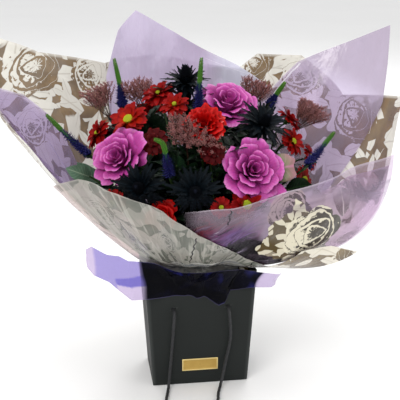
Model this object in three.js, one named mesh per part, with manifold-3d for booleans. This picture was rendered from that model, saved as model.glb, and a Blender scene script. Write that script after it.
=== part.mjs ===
// A hand-tied mixed bouquet wrapped in layered film, standing in a small card gift bag.
// Millimetres, +Z up, front towards -Y. The origin is the middle of the bag's underside.
import * as THREE from "three";
import { mergeVertices } from "three/addons/utils/BufferGeometryUtils.js";
import Module from "manifold-3d";

const wasm = await Module();
wasm.setup();

// Driving dimensions
const BAG_HEIGHT = 185;
const BAG_BOTTOM = { x: 73, y: 48 };
const BAG_TOP = { x: 84, y: 56 };
const CARD = 1.4;
const GUSSET = 2.5;
const HOLE_X = 41;
const HOLE_Z = 128;
const HOLE_RADIUS = 3;
const CORD_RADIUS = 2.25;
const LABEL = { width: 55, height: 20, thickness: 0.6, z: 33 };
const BOARD = { x: 69, y: 44, thickness: 2 };
const GAP = 0.3;
const FILM = 0.8;
const SKIRT_Z = 160;
const FLARE_Z = 197;
const LAYER_PITCH = 1.5;
const LAYER_SPREAD = 3;
const LAYERS = 7;
const BEARING_STEP = 8;
const ROW_STEP = 0.17;
const PLEAT = 4;
const PLEATS = 13;
const TIE_Z = 198;
const TIE_SHARE = 0.17;
const SPREAD_Z = 300;
const STEM_FOOT_Z = 17.5;
const POUCH_TOP = 132;
const POUCH_FLOOR = 17;
const POUCH_HOLE = 37;
const STEM_ROOT = 4;
const STEM_GAP = 1.3;
const LEAFY = 85;
const TIE_WIDTH = 9;
const KALE_FOOT = -39;
const CARNATION_FOOT = -22;
const PETAL = 1.1;
const SPIKE_CORE = 1.9;
const SPIKE_FOOT = 0.05;

const SEED = 41;

// Small tools
const V = (x, y, z) => new THREE.Vector3(x, y, z);
const TURN = 2 * Math.PI;
const rad = THREE.MathUtils.degToRad;
const mix = THREE.MathUtils.lerp;

function randomFrom(seed) {
  let state = seed;
  return () => {
    state = (state + 0x6d2b79f5) | 0;
    let t = Math.imul(state ^ (state >>> 15), 1 | state);
    t = (t + Math.imul(t ^ (t >>> 7), 61 | t)) ^ t;
    return ((t ^ (t >>> 14)) >>> 0) / 4294967296;
  };
}

// A closed solid from a three.js geometry whose shared vertices are merged.
function toSolid(geometry) {
  const bare = geometry.clone();
  bare.deleteAttribute("normal");
  bare.deleteAttribute("uv");
  const merged = mergeVertices(bare, 1e-3);
  const kept = [];
  const index = merged.index.array;
  for (let i = 0; i < index.length; i += 3) {
    const [a, b, c] = [index[i], index[i + 1], index[i + 2]];
    if (a !== b && b !== c && c !== a) kept.push(a, b, c);
  }
  return new wasm.Manifold(
    new wasm.Mesh({
      numProp: 3,
      vertProperties: merged.attributes.position.array,
      triVerts: new Uint32Array(kept),
    }),
  );
}

function toGeometry(solid) {
  const mesh = solid.getMesh();
  const geometry = new THREE.BufferGeometry();
  geometry.setAttribute("position", new THREE.BufferAttribute(mesh.vertProperties, 3));
  geometry.setIndex(new THREE.BufferAttribute(mesh.triVerts, 1));
  geometry.computeVertexNormals();
  return geometry;
}

function largestBody(solid) {
  const bodies = solid.decompose();
  return bodies.reduce((best, body) => (body.volume() > best.volume() ? body : best));
}

const joined = (solids) => largestBody(solids.reduce((all, one) => all.add(one))).simplify(0.02);

// A mesh of points and triangles as a geometry.
function geometryOf(points, triangles) {
  const geometry = new THREE.BufferGeometry();
  const flat = points.flatMap((p) => [p.x, p.y, p.z]);
  geometry.setAttribute("position", new THREE.Float32BufferAttribute(flat, 3));
  geometry.setIndex(triangles);
  return geometry;
}

// A thin closed blade over a grid of points, whose rows run from root to tip. Both faces are split
// alike, lie half a thickness from the grid, and meet in a sharp edge down the sides and at the tip.
function blade(rows, thickness) {
  const points = [];
  const top = [];
  const under = [];
  const last = rows.length - 1;
  const at = (i, j) => rows[i][Math.min(j, rows[i].length - 1)];
  rows.forEach((row, i) => {
    top.push([]);
    under.push([]);
    row.forEach((p, j) => {
      const edge = j === 0 || j === row.length - 1 || i === last;
      if (edge) {
        top[i].push(points.length);
        under[i].push(points.length);
        points.push(p);
        return;
      }
      const along = at(Math.min(i + 1, last), j).clone().sub(at(Math.max(i - 1, 0), j));
      const across = at(i, j + 1).clone().sub(at(i, j - 1));
      const out = along.cross(across).normalize().multiplyScalar(thickness / 2);
      top[i].push(points.length);
      points.push(p.clone().add(out));
      under[i].push(points.length);
      points.push(p.clone().sub(out));
    });
  });
  const triangles = [];
  const face = (side, a, b, c) => {
    if (a === b || b === c || c === a) return;
    triangles.push(...(side === top ? [a, b, c] : [a, c, b]));
  };
  for (const side of [top, under]) {
    for (let i = 0; i < last; i++) {
      const next = side[i + 1];
      for (let j = 0; j + 1 < side[i].length; j++) {
        const [a, d] = [side[i][j], side[i][j + 1]];
        const [b, c] = [next[Math.min(j, next.length - 1)], next[Math.min(j + 1, next.length - 1)]];
        face(side, a, b, c);
        face(side, a, c, d);
      }
    }
  }
  for (let j = 0; j + 1 < top[0].length; j++) {
    face(top, top[0][j], top[0][j + 1], under[0][j + 1]);
    face(top, top[0][j], under[0][j + 1], under[0][j]);
  }
  return geometryOf(points, triangles);
}

// The triangles that close a loop: a fan for a small convex ring, else by its outline from above.
function capOf(loop) {
  if (loop.length <= 8) return loop.slice(2).map((_, i) => [0, i + 1, i + 2]);
  return THREE.ShapeUtils.triangulateShape(loop.map((p) => new THREE.Vector2(p.x, p.y)), []);
}

// A solid through closed loops of the same number of points, capped at the first and the last, or
// endless where the last joins the first.
function loft(loops, endless = false) {
  const count = loops[0].length;
  const points = loops.flat();
  const triangles = [];
  for (let i = 0; i + (endless ? 0 : 1) < loops.length; i++) {
    const [from, to] = [i * count, ((i + 1) % loops.length) * count];
    for (let j = 0; j < count; j++) {
      const k = (j + 1) % count;
      triangles.push(from + j, from + k, to + k, from + j, to + k, to + j);
    }
  }
  if (endless) return geometryOf(points, triangles);
  for (const [loop, under] of [[0, true], [loops.length - 1, false]]) {
    for (const [a, b, c] of capOf(loops[loop])) {
      const start = loop * count;
      triangles.push(...(under ? [start + a, start + c, start + b] : [start + a, start + b, start + c]));
    }
  }
  return geometryOf(points, triangles);
}

// A tube of regular section along a smooth line through the points.
function tube(points, radius, sides, steps) {
  const section = new THREE.Shape();
  for (let i = 0; i < sides; i++) {
    const angle = (TURN * i) / sides;
    const [x, y] = [radius * Math.cos(angle), radius * Math.sin(angle)];
    if (i === 0) section.moveTo(x, y);
    else section.lineTo(x, y);
  }
  section.closePath();
  const path = new THREE.CatmullRomCurve3(points, false, "centripetal");
  const extruded = new THREE.ExtrudeGeometry(section, { steps, bevelEnabled: false, extrudePath: path });
  return toSolid(extruded);
}

// A turned solid about Z through [radius, height] points from its foot to its top.
function turned(profile, segments) {
  const points = profile.map(([r, z]) => new THREE.Vector2(r, z));
  return new THREE.LatheGeometry(points, segments).rotateX(Math.PI / 2);
}

// The frame of a head: its origin, with z out along its axis and a roll about it.
function frameAt(origin, axis, roll = 0) {
  const z = axis.clone().normalize();
  const side = Math.abs(z.z) > 0.95 ? V(1, 0, 0) : V(0, 0, 1).cross(z).normalize();
  const x = side.sub(z.clone().multiplyScalar(side.dot(z))).normalize();
  const y = z.clone().cross(x);
  const turn = new THREE.Matrix4().makeBasis(x, y, z);
  turn.multiply(new THREE.Matrix4().makeRotationZ(roll));
  return turn.setPosition(origin);
}

// Solids that are already placed, which later pieces are bent clear of.
const placed = [];

function boxOf(solid, margin) {
  const { min, max } = solid.boundingBox();
  return new THREE.Box3(V(...min), V(...max)).expandByScalar(margin);
}

function keep(solid, owner) {
  placed.push({ solid, owner, box: boxOf(solid, GAP) });
  return solid;
}

// Whether a piece of one flower stands clear of all the others.
function isClear(solid, owner) {
  const box = boxOf(solid, GAP);
  return placed.every(
    (other) =>
      other.owner === owner ||
      !box.intersectsBox(other.box) ||
      other.solid.minGap(solid, GAP) >= GAP * 0.99,
  );
}

// The first of several ways to bend a piece that is clear of the other flowers and the films.
function bentClear(ways, owner, make) {
  for (const way of ways) {
    const solid = make(way);
    if (isClear(solid, owner)) return solid;
  }
  return null;
}

// Parts are collected here as named meshes.
const bouquet = new THREE.Group();

function part(name, solid, color, roughness, metalness = 0) {
  const material = new THREE.MeshStandardMaterial({ color, roughness, metalness });
  material.side = THREE.DoubleSide;
  const mesh = new THREE.Mesh(toGeometry(solid), material);
  mesh.name = name;
  bouquet.add(mesh);
}

// The gift bag: a tapered card shell, open above, with a crease down each side
function bagLoop(z, inset) {
  const share = z / BAG_HEIGHT;
  const x = mix(BAG_BOTTOM.x, BAG_TOP.x, share) - inset;
  const y = mix(BAG_BOTTOM.y, BAG_TOP.y, share) - inset;
  const crease = GUSSET * share;
  return [V(x, -y, z), V(x - crease, 0, z), V(x, y, z), V(-x, y, z), V(crease - x, 0, z), V(-x, -y, z)];
}

function bag() {
  let shell = toSolid(
    loft([bagLoop(0, 0), bagLoop(BAG_HEIGHT, 0), bagLoop(BAG_HEIGHT, CARD), bagLoop(CARD, CARD)]),
  );
  for (const x of [-HOLE_X, HOLE_X]) {
    for (const side of [-1, 1]) {
      const drill = new THREE.CylinderGeometry(HOLE_RADIUS, HOLE_RADIUS, 20, 10);
      drill.translate(x, side * 53, HOLE_Z);
      shell = shell.subtract(toSolid(drill));
    }
  }
  return shell;
}

const bagFrontY = (z) => -mix(BAG_BOTTOM.y, BAG_TOP.y, z / BAG_HEIGHT);

part("bag", keep(bag()), 0x34383a, 0.75);

function bagBoard() {
  const board = new THREE.BoxGeometry(2 * BOARD.x, 2 * BOARD.y, BOARD.thickness);
  return toSolid(board.translate(0, 0, CARD + GAP + BOARD.thickness / 2));
}

part("bag_base_board", keep(bagBoard()), 0x8b7355, 0.9);

function labelPlate() {
  const lean = Math.atan2(BAG_TOP.y - BAG_BOTTOM.y, BAG_HEIGHT);
  const plate = new THREE.BoxGeometry(LABEL.width, LABEL.thickness, LABEL.height);
  plate.translate(0, -GAP - LABEL.thickness / 2, 0).rotateX(lean);
  return toSolid(plate.translate(-1, bagFrontY(LABEL.z), LABEL.z));
}

part("label_plate", keep(labelPlate()), 0xb0924a, 0.35, 0.6);

// The front handle: one cord through both holes, hanging down the face and lying on the ground
const CORD_ROUTE = [
  [-41, -44, 128],
  [-41, -50, 128],
  [-41, -56, 127.9],
  [-41.1, -60.4, 126.3],
  [-41.3, -63.4, 122.6],
  [-41.6, -64, 117],
  [-42.5, -61.5, 100],
  [-43.5, -58, 80],
  [-45, -55.8, 58],
  [-47, -55.4, 36],
  [-49, -57.5, 17],
  [-50.5, -61.5, 7.2],
  [-52.5, -70, 3],
  [-55.5, -84, 2.7],
  [-58.5, -101, 2.7],
  [-57.5, -119, 2.7],
  [-47, -134, 2.7],
  [-28, -141, 2.7],
  [-8, -138, 2.7],
  [9, -126, 2.7],
  [17.5, -109, 2.7],
  [21, -91, 2.7],
  [25.5, -75, 3],
  [29.5, -64.5, 7.5],
  [33, -59.5, 18],
  [37.5, -56.4, 38],
  [42, -56.4, 60],
  [44.2, -58.6, 80],
  [43.4, -61.8, 100],
  [41.8, -64.2, 117],
  [41.3, -63.5, 122.6],
  [41.1, -60.4, 126.3],
  [41, -56, 127.9],
  [41, -50, 128],
  [41, -44, 128],
].map((p) => V(...p));

part("handle_cord", keep(tube(CORD_ROUTE, CORD_RADIUS, 8, 40)), 0x17181a, 0.8);

// The water pouch: a filled pouch whose one plain well holds the stems
function ringLoop(z, halfX, halfY, power, count) {
  return Array.from({ length: count }, (_, i) => {
    const angle = (TURN * (i + 0.5)) / count;
    const [c, s] = [Math.cos(angle), Math.sin(angle)];
    const r = (Math.abs(c / halfX) ** power + Math.abs(s / halfY) ** power) ** (-1 / power);
    return V(r * c, r * s, z);
  });
}

function waterPouch() {
  const floor = CARD + BOARD.thickness + 2 * GAP;
  const loops = [
    ringLoop(floor, 50, 32, 3, 14),
    ringLoop(floor + 10, 62, 42.5, 3, 14),
    ringLoop(POUCH_TOP - 30, 60, 43, 3, 14),
    ringLoop(POUCH_TOP, 42, 41, 2, 14),
    ringLoop(POUCH_TOP, POUCH_HOLE, POUCH_HOLE, 2, 14),
    ringLoop(POUCH_FLOOR, POUCH_HOLE, POUCH_HOLE, 2, 14),
  ];
  return toSolid(loft(loops));
}

part("water_pouch", keep(waterPouch()), 0xb9cdd6, 0.15);

// The flare of the wrap, round the bag: for each bearing, the point that its profile bends towards
// and the point where it ends, as radius and height.
const FLARE = [
  { bearing: 0, bend: [256, 224], end: [316, 488] },
  { bearing: 16, bend: [222, 246], end: [325, 522] },
  { bearing: 38, bend: [205, 265], end: [252, 485] },
  { bearing: 54, bend: [208, 258], end: [215, 480] },
  { bearing: 90, bend: [206, 252], end: [180, 502] },
  { bearing: 117, bend: [208, 258], end: [184, 556] },
  { bearing: 137, bend: [208, 258], end: [206, 525] },
  { bearing: 152, bend: [208, 258], end: [252, 520] },
  { bearing: 167, bend: [205, 255], end: [325, 540] },
  { bearing: 180, bend: [175, 262], end: [285, 452] },
  { bearing: 190, bend: [155, 262], end: [240, 392] },
  { bearing: 200, bend: [140, 256], end: [212, 360] },
  { bearing: 215, bend: [128, 246], end: [190, 350] },
  { bearing: 234, bend: [118, 236], end: [172, 345] },
  { bearing: 266, bend: [112, 222], end: [156, 338] },
  { bearing: 300, bend: [122, 226], end: [172, 352] },
  { bearing: 331, bend: [232, 204], end: [228, 366] },
  { bearing: 347, bend: [290, 203], end: [272, 376] },
];

// A closed smooth interpolation of the flare's table at a bearing in degrees.
function flareProfile(bearing) {
  const count = FLARE.length;
  const b = ((bearing % 360) + 360) % 360;
  let i = count - 1;
  while (i > 0 && FLARE[i].bearing > b) i--;
  const entry = (k) => FLARE[((k % count) + count) % count];
  const where = (k) => entry(k).bearing + 360 * Math.floor(k / count);
  const span = where(i + 1) - where(i);
  const t = (b - where(i)) / span;
  const value = (k, key, n) => entry(k)[key][n];
  const smooth = (key, n) => {
    const [a, c] = [value(i, key, n), value(i + 1, key, n)];
    const before = (c - value(i - 1, key, n)) / (where(i + 1) - where(i - 1));
    const after = (value(i + 2, key, n) - a) / (where(i + 2) - where(i));
    const h = 1 - t;
    return (
      a * h * h * (1 + 2 * t) + c * t * t * (3 - 2 * t) + span * t * h * (before * h - after * t)
    );
  };
  return { bend: [smooth("bend", 0), smooth("bend", 1)], end: [smooth("end", 0), smooth("end", 1)] };
}

// How far the innermost film stands from the middle inside the bag's mouth.
function mouthRadius(bearing, z) {
  const share = z / BAG_HEIGHT;
  const inset = CARD + GUSSET + 0.8 + FILM / 2 + LAYERS * LAYER_PITCH;
  const x = mix(BAG_BOTTOM.x, BAG_TOP.x, share) - inset;
  const y = mix(BAG_BOTTOM.y, BAG_TOP.y, share) - inset;
  const [c, s] = [Math.cos(rad(bearing)), Math.sin(rad(bearing))];
  return (Math.abs(c / x) ** 7 + Math.abs(s / y) ** 7) ** (-1 / 7);
}

// How much further apart along a bearing the films stand, where the mouth's sides run aslant to it.
function slant(bearing, u) {
  const at = (b) => {
    const r = mouthRadius(b, FLARE_Z);
    return new THREE.Vector2(r * Math.cos(rad(b)), r * Math.sin(rad(b)));
  };
  const here = at(bearing);
  const facings = [-BEARING_STEP, BEARING_STEP].map((step) => {
    const side = at(bearing + step).sub(here);
    return Math.abs(here.cross(side)) / here.length() / side.length();
  });
  return mix(1 / Math.min(...facings), 1, Math.min(1, Math.max(0, u / 0.6)));
}

const pleat = (bearing) => Math.sin(PLEATS * rad(bearing) + 1.3 * Math.sin(3 * rad(bearing)));

// A point of a film: u runs from 0 where it leaves the bag to 1 at the flare's end.
function flarePoint(bearing, u, layer, out = 0) {
  const profile = flareProfile(bearing);
  const h = 1 - u;
  const foot = [mouthRadius(bearing, FLARE_Z), FLARE_Z];
  const at = (n) => foot[n] * h * h + 2 * u * h * profile.bend[n] + u * u * profile.end[n];
  const slope = (n) => 2 * h * (profile.bend[n] - foot[n]) + 2 * u * (profile.end[n] - profile.bend[n]);
  const steep = Math.hypot(slope(0), slope(1));
  const off = out + layer * (LAYER_PITCH + LAYER_SPREAD * u) + PLEAT * u * pleat(bearing);
  const [outward, downward] = [slope(1) / steep, slope(0) / steep];
  const r = at(0) + off * slant(bearing, u) * (u < ROW_STEP / 2 ? 1 : outward);
  const z = at(1) - (off * downward) / (u < ROW_STEP / 2 ? 1 + outward : 1);
  return V(r * Math.cos(rad(bearing)), r * Math.sin(rad(bearing)), z);
}

// A point of a film's foot, inside the bag's mouth.
function skirtPoint(bearing, layer, out) {
  const r = mouthRadius(bearing, SKIRT_Z) + slant(bearing, 0) * (layer * LAYER_PITCH + out);
  return V(r * Math.cos(rad(bearing)), r * Math.sin(rad(bearing)), SKIRT_Z);
}

// The share of the flare at which a film's layer reaches a height.
function shareAtHeight(bearing, z, layer) {
  let [low, high] = [0, 1.15];
  for (let i = 0; i < 24; i++) {
    const middle = (low + high) / 2;
    if (flarePoint(bearing, middle, layer).z < z) low = middle;
    else high = middle;
  }
  return low;
}

function outlineHeight(outline, bearing) {
  const i = Math.max(1, outline.findIndex(([b]) => b >= bearing));
  const [from, to] = [outline[i - 1], outline[i]];
  return mix(from[1], to[1], (bearing - from[0]) / (to[0] - from[0]));
}

// A film from the outline of its top edge, as bearings and heights. All films share their bearings
// and rows, so their facets lie parallel and the layers stay apart.
// A film with a flop stands that much further out towards its later bearings.
function film({ outline, layer, flop = 0 }) {
  const columns = [];
  const lift = (bearing, u) => {
    const along = (bearing - outline[0][0]) / (outline.at(-1)[0] - outline[0][0]);
    return flop * Math.max(0, u) * along ** 2;
  };
  for (let bearing = outline[0][0]; bearing <= outline.at(-1)[0]; bearing += BEARING_STEP) {
    const top = shareAtHeight(bearing, outlineHeight(outline, bearing), layer);
    const shares = [-1, 0];
    for (let u = ROW_STEP; u < top - ROW_STEP / 3; u += ROW_STEP) shares.push(u);
    shares.push(top);
    columns.push({ bearing, shares });
  }
  const points = [];
  const faces = [[], []];
  columns.forEach(({ bearing, shares }, i) => {
    const sides = [[], []];
    shares.forEach((u, j) => {
      const edge = i === 0 || i === columns.length - 1 || j === 0 || j === shares.length - 1;
      const place = (off) => u < 0
          ? skirtPoint(bearing, layer, off)
          : flarePoint(bearing, u, layer, off + lift(bearing, u));
      const offs = edge ? [0] : [FILM / 2, -FILM / 2];
      offs.forEach((off) => points.push(place(off)));
      sides[0].push(points.length - offs.length);
      sides[1].push(points.length - 1);
    });
    faces[0].push(sides[0]);
    faces[1].push(sides[1]);
  });
  const triangles = [];
  faces.forEach((side, inner) => {
    for (let i = 0; i + 1 < side.length; i++) {
      const [a, b] = [side[i], side[i + 1]];
      const [ua, ub] = [columns[i].shares, columns[i + 1].shares];
      let [j, k] = [0, 0];
      while (j + 1 < a.length || k + 1 < b.length) {
        const stepB = j + 1 === a.length || (k + 1 < b.length && ub[k + 1] <= ua[j + 1] + 1e-6 && k <= j);
        const triangle = stepB ? [a[j], b[k], b[k + 1]] : [a[j], b[k], a[j + 1]];
        triangles.push(...(inner ? triangle.reverse() : triangle));
        if (stepB) k++;
        else j++;
      }
    }
  });
  return toSolid(geometryOf(points, triangles));
}

const FILMS = {
  film_lilac_back: {
    outline: [[8, 412], [16, 522], [40, 456], [48, 412], [64, 447], [112, 541], [120, 510], [128, 440]],
    layer: 2,
  },
  film_lilac_left: {
    outline: [[152, 372], [160, 430], [168, 450], [176, 452], [184, 425], [192, 378], [200, 344]],
    layer: 2,
  },
  film_print_back: {
    outline: [
      [-8, 336], [0, 428], [24, 410], [40, 466], [56, 466], [64, 440], [104, 470], [128, 462], [152, 488],
      [168, 538], [184, 415], [192, 366],
    ],
    layer: 3,
  },
  film_print_right_front: {
    outline: [[272, 296], [288, 304], [304, 317], [328, 344], [344, 346]],
    layer: 3,
  },
  film_lilac_right_front: {
    outline: [[256, 316], [272, 319], [288, 325], [304, 338], [328, 357], [344, 362]],
    layer: 4,
  },
  film_print_fold: {
    outline: [[320, 234], [328, 243], [336, 238]],
    layer: 6,
    flop: 40,
  },
  film_print_left_front: {
    outline: [[200, 334], [208, 348], [216, 358], [232, 346], [248, 318], [264, 275], [288, 238], [304, 217], [320, 201]],
    layer: 5,
  },
};

// The sash of film round the front of the bag's mouth: along it, the bearing, how far its lower edge
// stands off the card, the height of that edge, and how far its upper edge reaches out and up.
const SASH = [
  { bearing: 182, lower: [83, 185], upper: [83, 212] },
  { bearing: 190, lower: [74, 178], upper: [76, 225] },
  { bearing: 198, lower: [54, 173], upper: [56, 217] },
  { bearing: 206, lower: [42, 163], upper: [41, 214] },
  { bearing: 214, lower: [25, 152], upper: [30, 206] },
  { bearing: 226, lower: [1.7, 150], upper: [25, 198] },
  { bearing: 238, lower: [1.7, 150], upper: [23, 195] },
  { bearing: 250, lower: [1.7, 151], upper: [23, 195] },
  { bearing: 262, lower: [1.7, 145], upper: [23, 195] },
  { bearing: 274, lower: [1.7, 147], upper: [23, 195] },
  { bearing: 287, lower: [1.7, 139], upper: [23, 195] },
  { bearing: 296, lower: [1.7, 130], upper: [23, 195] },
  { bearing: 303, lower: [1.7, 134], upper: [23.5, 195] },
  { bearing: 308, lower: [1.7, 156], upper: [24, 195] },
  { bearing: 320, lower: [14, 160], upper: [27, 188] },
  { bearing: 331, lower: [32, 163], upper: [40, 182] },
];

// The card's outside, seen from the middle on a bearing.
function cardRadius(bearing, z) {
  const share = z / BAG_HEIGHT;
  const x = mix(BAG_BOTTOM.x, BAG_TOP.x, share);
  const y = mix(BAG_BOTTOM.y, BAG_TOP.y, share);
  const [c, s] = [Math.cos(rad(bearing)), Math.sin(rad(bearing))];
  return Math.min(x / Math.abs(c), y / Math.abs(s));
}

function sash() {
  const row = (pick) =>
    SASH.map((column) => {
      const [off, z] = pick(column);
      const r = cardRadius(column.bearing, Math.min(z, BAG_HEIGHT)) + off;
      return V(r * Math.cos(rad(column.bearing)), r * Math.sin(rad(column.bearing)), z);
    });
  const up = (share) => (column) => [
    mix(column.lower[0], column.upper[0], share ** 2),
    mix(column.lower[1], column.upper[1], share),
  ];
  return toSolid(blade([0, 0.35, 0.7, 1].map((share) => row(up(share))), FILM));
}

const FILM_LOOKS = { lilac: [0xc4b2dc, 0.12], print: [0xd8cfc0, 0.3] };

for (const [name, shape] of Object.entries(FILMS)) {
  const [color, roughness] = name.includes("lilac") ? FILM_LOOKS.lilac : FILM_LOOKS.print;
  part(name, keep(film(shape)), color, roughness);
}

part("film_sash", keep(sash()), ...FILM_LOOKS.lilac);

// Where each stem stands in the bunch. Heads keep their own bearing from the middle, and all stems
// draw in together by the same rule towards the tie, so none crosses another.
function gather(z) {
  if (z <= TIE_Z) return TIE_SHARE * (1 + (0.22 * (TIE_Z - z)) / TIE_Z);
  return TIE_SHARE + (1 - TIE_SHARE) * ((z - TIE_Z) / (SPREAD_Z - TIE_Z)) ** 1.25;
}

const stemsDrawnIn = new Map();

// Settles the stems' places at the tie: drawn in, then pushed apart until they only just touch.
function settleStems(heads) {
  const spots = heads.map((head) => {
    const share = TIE_SHARE / gather(head.neck.z);
    return { name: head.name, x: head.neck.x * share, y: head.neck.y * share, r: head.stem };
  });
  for (let round = 0; round < 500; round++) {
    for (let i = 0; i < spots.length; i++) {
      for (let j = i + 1; j < spots.length; j++) {
        const [a, b] = [spots[i], spots[j]];
        const [dx, dy] = [b.x - a.x, b.y - a.y];
        const far = Math.hypot(dx, dy) || 0.01;
        const push = (a.r + b.r + STEM_GAP - far) / 2;
        if (push <= 0) continue;
        a.x -= (dx / far) * push;
        a.y -= (dy / far) * push;
        b.x += (dx / far) * push;
        b.y += (dy / far) * push;
      }
    }
  }
  spots.forEach((spot) => stemsDrawnIn.set(spot.name, spot));
}

// A stem's middle at a height, between its foot and its neck.
function stemAt({ neck, name }, z) {
  const spot = stemsDrawnIn.get(name);
  const share = gather(z) / gather(neck.z);
  const settled = Math.min(1, Math.max(0, (TIE_Z + 80 - z) / 80));
  const fade = settled * settled * (3 - 2 * settled);
  const home = TIE_SHARE / gather(neck.z);
  const splay = Math.min(1.3, gather(z) / TIE_SHARE);
  return V(
    neck.x * share + (spot.x - neck.x * home) * fade * splay,
    neck.y * share + (spot.y - neck.y * home) * fade * splay,
    z,
  );
}

// A rod through points, each section square to the line there. Its girth may differ at each point.
function rod(points, girth, sides) {
  let across = V(1, 0, 0);
  const last = points.length - 1;
  const loops = points.map((point, i) => {
    const along = points[Math.min(i + 1, last)].clone().sub(points[Math.max(i - 1, 0)]).normalize();
    across = across.clone().addScaledVector(along, -across.dot(along)).normalize();
    const up = along.clone().cross(across);
    return Array.from({ length: sides }, (_, k) => {
      const angle = (TURN * (k + 0.5)) / sides;
      const out = across.clone().multiplyScalar(Math.cos(angle)).addScaledVector(up, Math.sin(angle));
      return point.clone().addScaledVector(out, girth[i] ?? girth);
    });
  });
  return toSolid(loft(loops));
}

// The stem of a head, from the floor of the well to a little inside the head. All stems bend at the
// same heights, so their sides stay apart.
function stemSolid(head) {
  const { neck, axis, sides = 4 } = head;
  const points = [STEM_FOOT_Z, 120, TIE_Z - 5, TIE_Z + 5].map((z) => stemAt(head, z));
  for (let z = TIE_Z + 60; z < neck.z - 35; z += 70) points.push(stemAt(head, z));
  points.push(neck.clone(), neck.clone().addScaledVector(axis, STEM_ROOT));
  return rod(points, head.stem, sides);
}

// A head stands at its heart, faces along its axis, and its neck is where its stem begins.
function headOf(name, heart, axis, depth, stem) {
  const out = V(...axis).normalize();
  const at = V(...heart);
  return { name, heart: at, axis: out, neck: at.clone().addScaledVector(out, -depth), stem };
}

// A ruffled cup of petals as one closed body about z: its lobes are the petals, its rim is sharp.
function ruffle({ lobes, columns, rows, radius, foot, rim, notch, cup, wave, turn, under = foot - PETAL }) {
  const count = lobes * columns;
  const points = [V(0, 0, foot + PETAL), V(0, 0, under)];
  const ring = (along, off) => {
    const first = points.length;
    for (let k = 0; k < count; k++) {
      const full = Math.sin((Math.PI * (k % columns)) / columns);
      const swell = notch + (1 - notch) * full ** 0.6;
      const r = mix(4, radius, along ** 1.1) * mix(1, swell, along ** 0.7);
      const lift = mix(foot, rim, Math.sin((along * Math.PI) / 2)) + cup * full * along;
      const angle = turn + (TURN * k) / count;
      const z = lift + wave * along * Math.sin(k * 2.4 + turn * 3) + off;
      points.push(V(r * Math.cos(angle), r * Math.sin(angle), z));
    }
    return first;
  };
  const inner = [];
  for (let i = 1; i < rows; i++) inner.push([ring(i / rows, PETAL), ring(i / rows, -PETAL)]);
  const edge = ring(1, 0);
  const rings = [...inner, [edge, edge]];
  const triangles = [];
  for (const side of [0, 1]) {
    const face = (a, b, c) => triangles.push(...(side ? [a, c, b] : [a, b, c]));
    for (let k = 0; k < count; k++) {
      const next = (k + 1) % count;
      face(side, rings[0][side] + k, rings[0][side] + next);
      for (let i = 0; i + 1 < rings.length; i++) {
        const [low, high] = [rings[i][side], rings[i + 1][side]];
        face(low + k, high + k, high + next);
        face(low + k, high + next, low + next);
      }
    }
  }
  return geometryOf(points, triangles);
}

// A rosette of ruffled cups one inside the other, from the outermost in.
function rosette(radius, foot, cups) {
  const cupAt = (cup, i) => ruffle({ ...cup, radius: radius * cup.reach, foot: foot + i * PETAL });
  return joined(cups.map((cup, i) => toSolid(cupAt(cup, i))));
}

const kaleRosette = (radius) =>
  rosette(radius, KALE_FOOT, [
    { lobes: 6, columns: 3, rows: 3, reach: 1, rim: -6, notch: 0.8, cup: 3, wave: 2.4, turn: 0 },
    { lobes: 5, columns: 3, rows: 2, reach: 0.68, rim: 1, notch: 0.8, cup: 3, wave: 1.8, turn: 0.5 },
    { lobes: 4, columns: 2, rows: 2, reach: 0.42, rim: 5, notch: 0.8, cup: 2, wave: 1, turn: 0.2 },
    { lobes: 3, columns: 2, rows: 2, reach: 0.2, rim: 9, notch: 0.7, cup: 2, wave: 0.6, turn: 0.9 },
  ]);

const carnationPetals = (radius) =>
  rosette(radius, CARNATION_FOOT, [
    { lobes: 6, columns: 3, rows: 2, reach: 1, rim: -5, notch: 0.76, cup: 3, wave: 2.8, turn: 0 },
    { lobes: 5, columns: 3, rows: 2, reach: 0.74, rim: 3, notch: 0.76, cup: 2, wave: 2.6, turn: 0.5 },
    { lobes: 4, columns: 2, rows: 2, reach: 0.4, rim: 8, notch: 0.7, cup: 2, wave: 1.6, turn: 0.2 },
  ]);

// A kale's stalk with the green outer leaves that cup its rosette.
function kaleGreens(head, radius) {
  const frame = frameAt(head.heart, head.axis, head.roll);
  const foot = KALE_FOOT - 2 * PETAL - GAP;
  const under = foot - 12;
  const shape = { lobes: 4, columns: 3, rows: 3, foot, under, notch: 0.5, cup: 3, wave: 1.6, turn: 0.7 };
  const ways = [[-18, 1.04], [-22, 1], [-26, 0.96], [-30, 0.9], [-30, 0.75], [-32, 0.6]];
  const make = ([rim, share]) => {
    const leaves = ruffle({ ...shape, rim, radius: radius * share });
    return toSolid(leaves.applyMatrix4(frame));
  };
  return joined([stemSolid(head), bentClear(ways, stalkOf(head), make) ?? make([-34, 0.4])]);
}

// A carnation's stalk with its slim green calyx.
function carnationGreens(head) {
  const frame = frameAt(head.heart, head.axis, head.roll);
  const foot = CARNATION_FOOT - PETAL - GAP;
  const calyx = turned([[0, foot - 18], [3.4, foot - 14], [5.5, foot], [0, foot]], 6);
  return joined([stemSolid(head), toSolid(calyx.applyMatrix4(frame))]);
}

// A ray of a star with its rim from one valley round its tip to the next, as a closed wedge
function wedge({ rim, over, under }) {
  const points = [V(0, 0, 2), V(0, 0, -2), over, under, ...rim];
  const last = points.length - 1;
  const triangles = [0, 4, 2, 0, 2, last, 0, 1, 4, 0, last, 1, 1, 3, 4, 1, last, 3];
  for (let i = 4; i < last; i++) triangles.push(2, i, i + 1, 3, i + 1, i);
  return geometryOf(points, triangles);
}

// How a ray may be bent clear of its neighbours: its extra lift and the share of its length
const RAY_WAYS = [
  [0, 1],
  [7, 1],
  [-7, 1],
  [14, 0.95],
  [-14, 0.95],
  [5, 0.8],
  [-5, 0.8],
  [20, 0.8],
  [0, 0.6],
  [0, 0.45],
];

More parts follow.
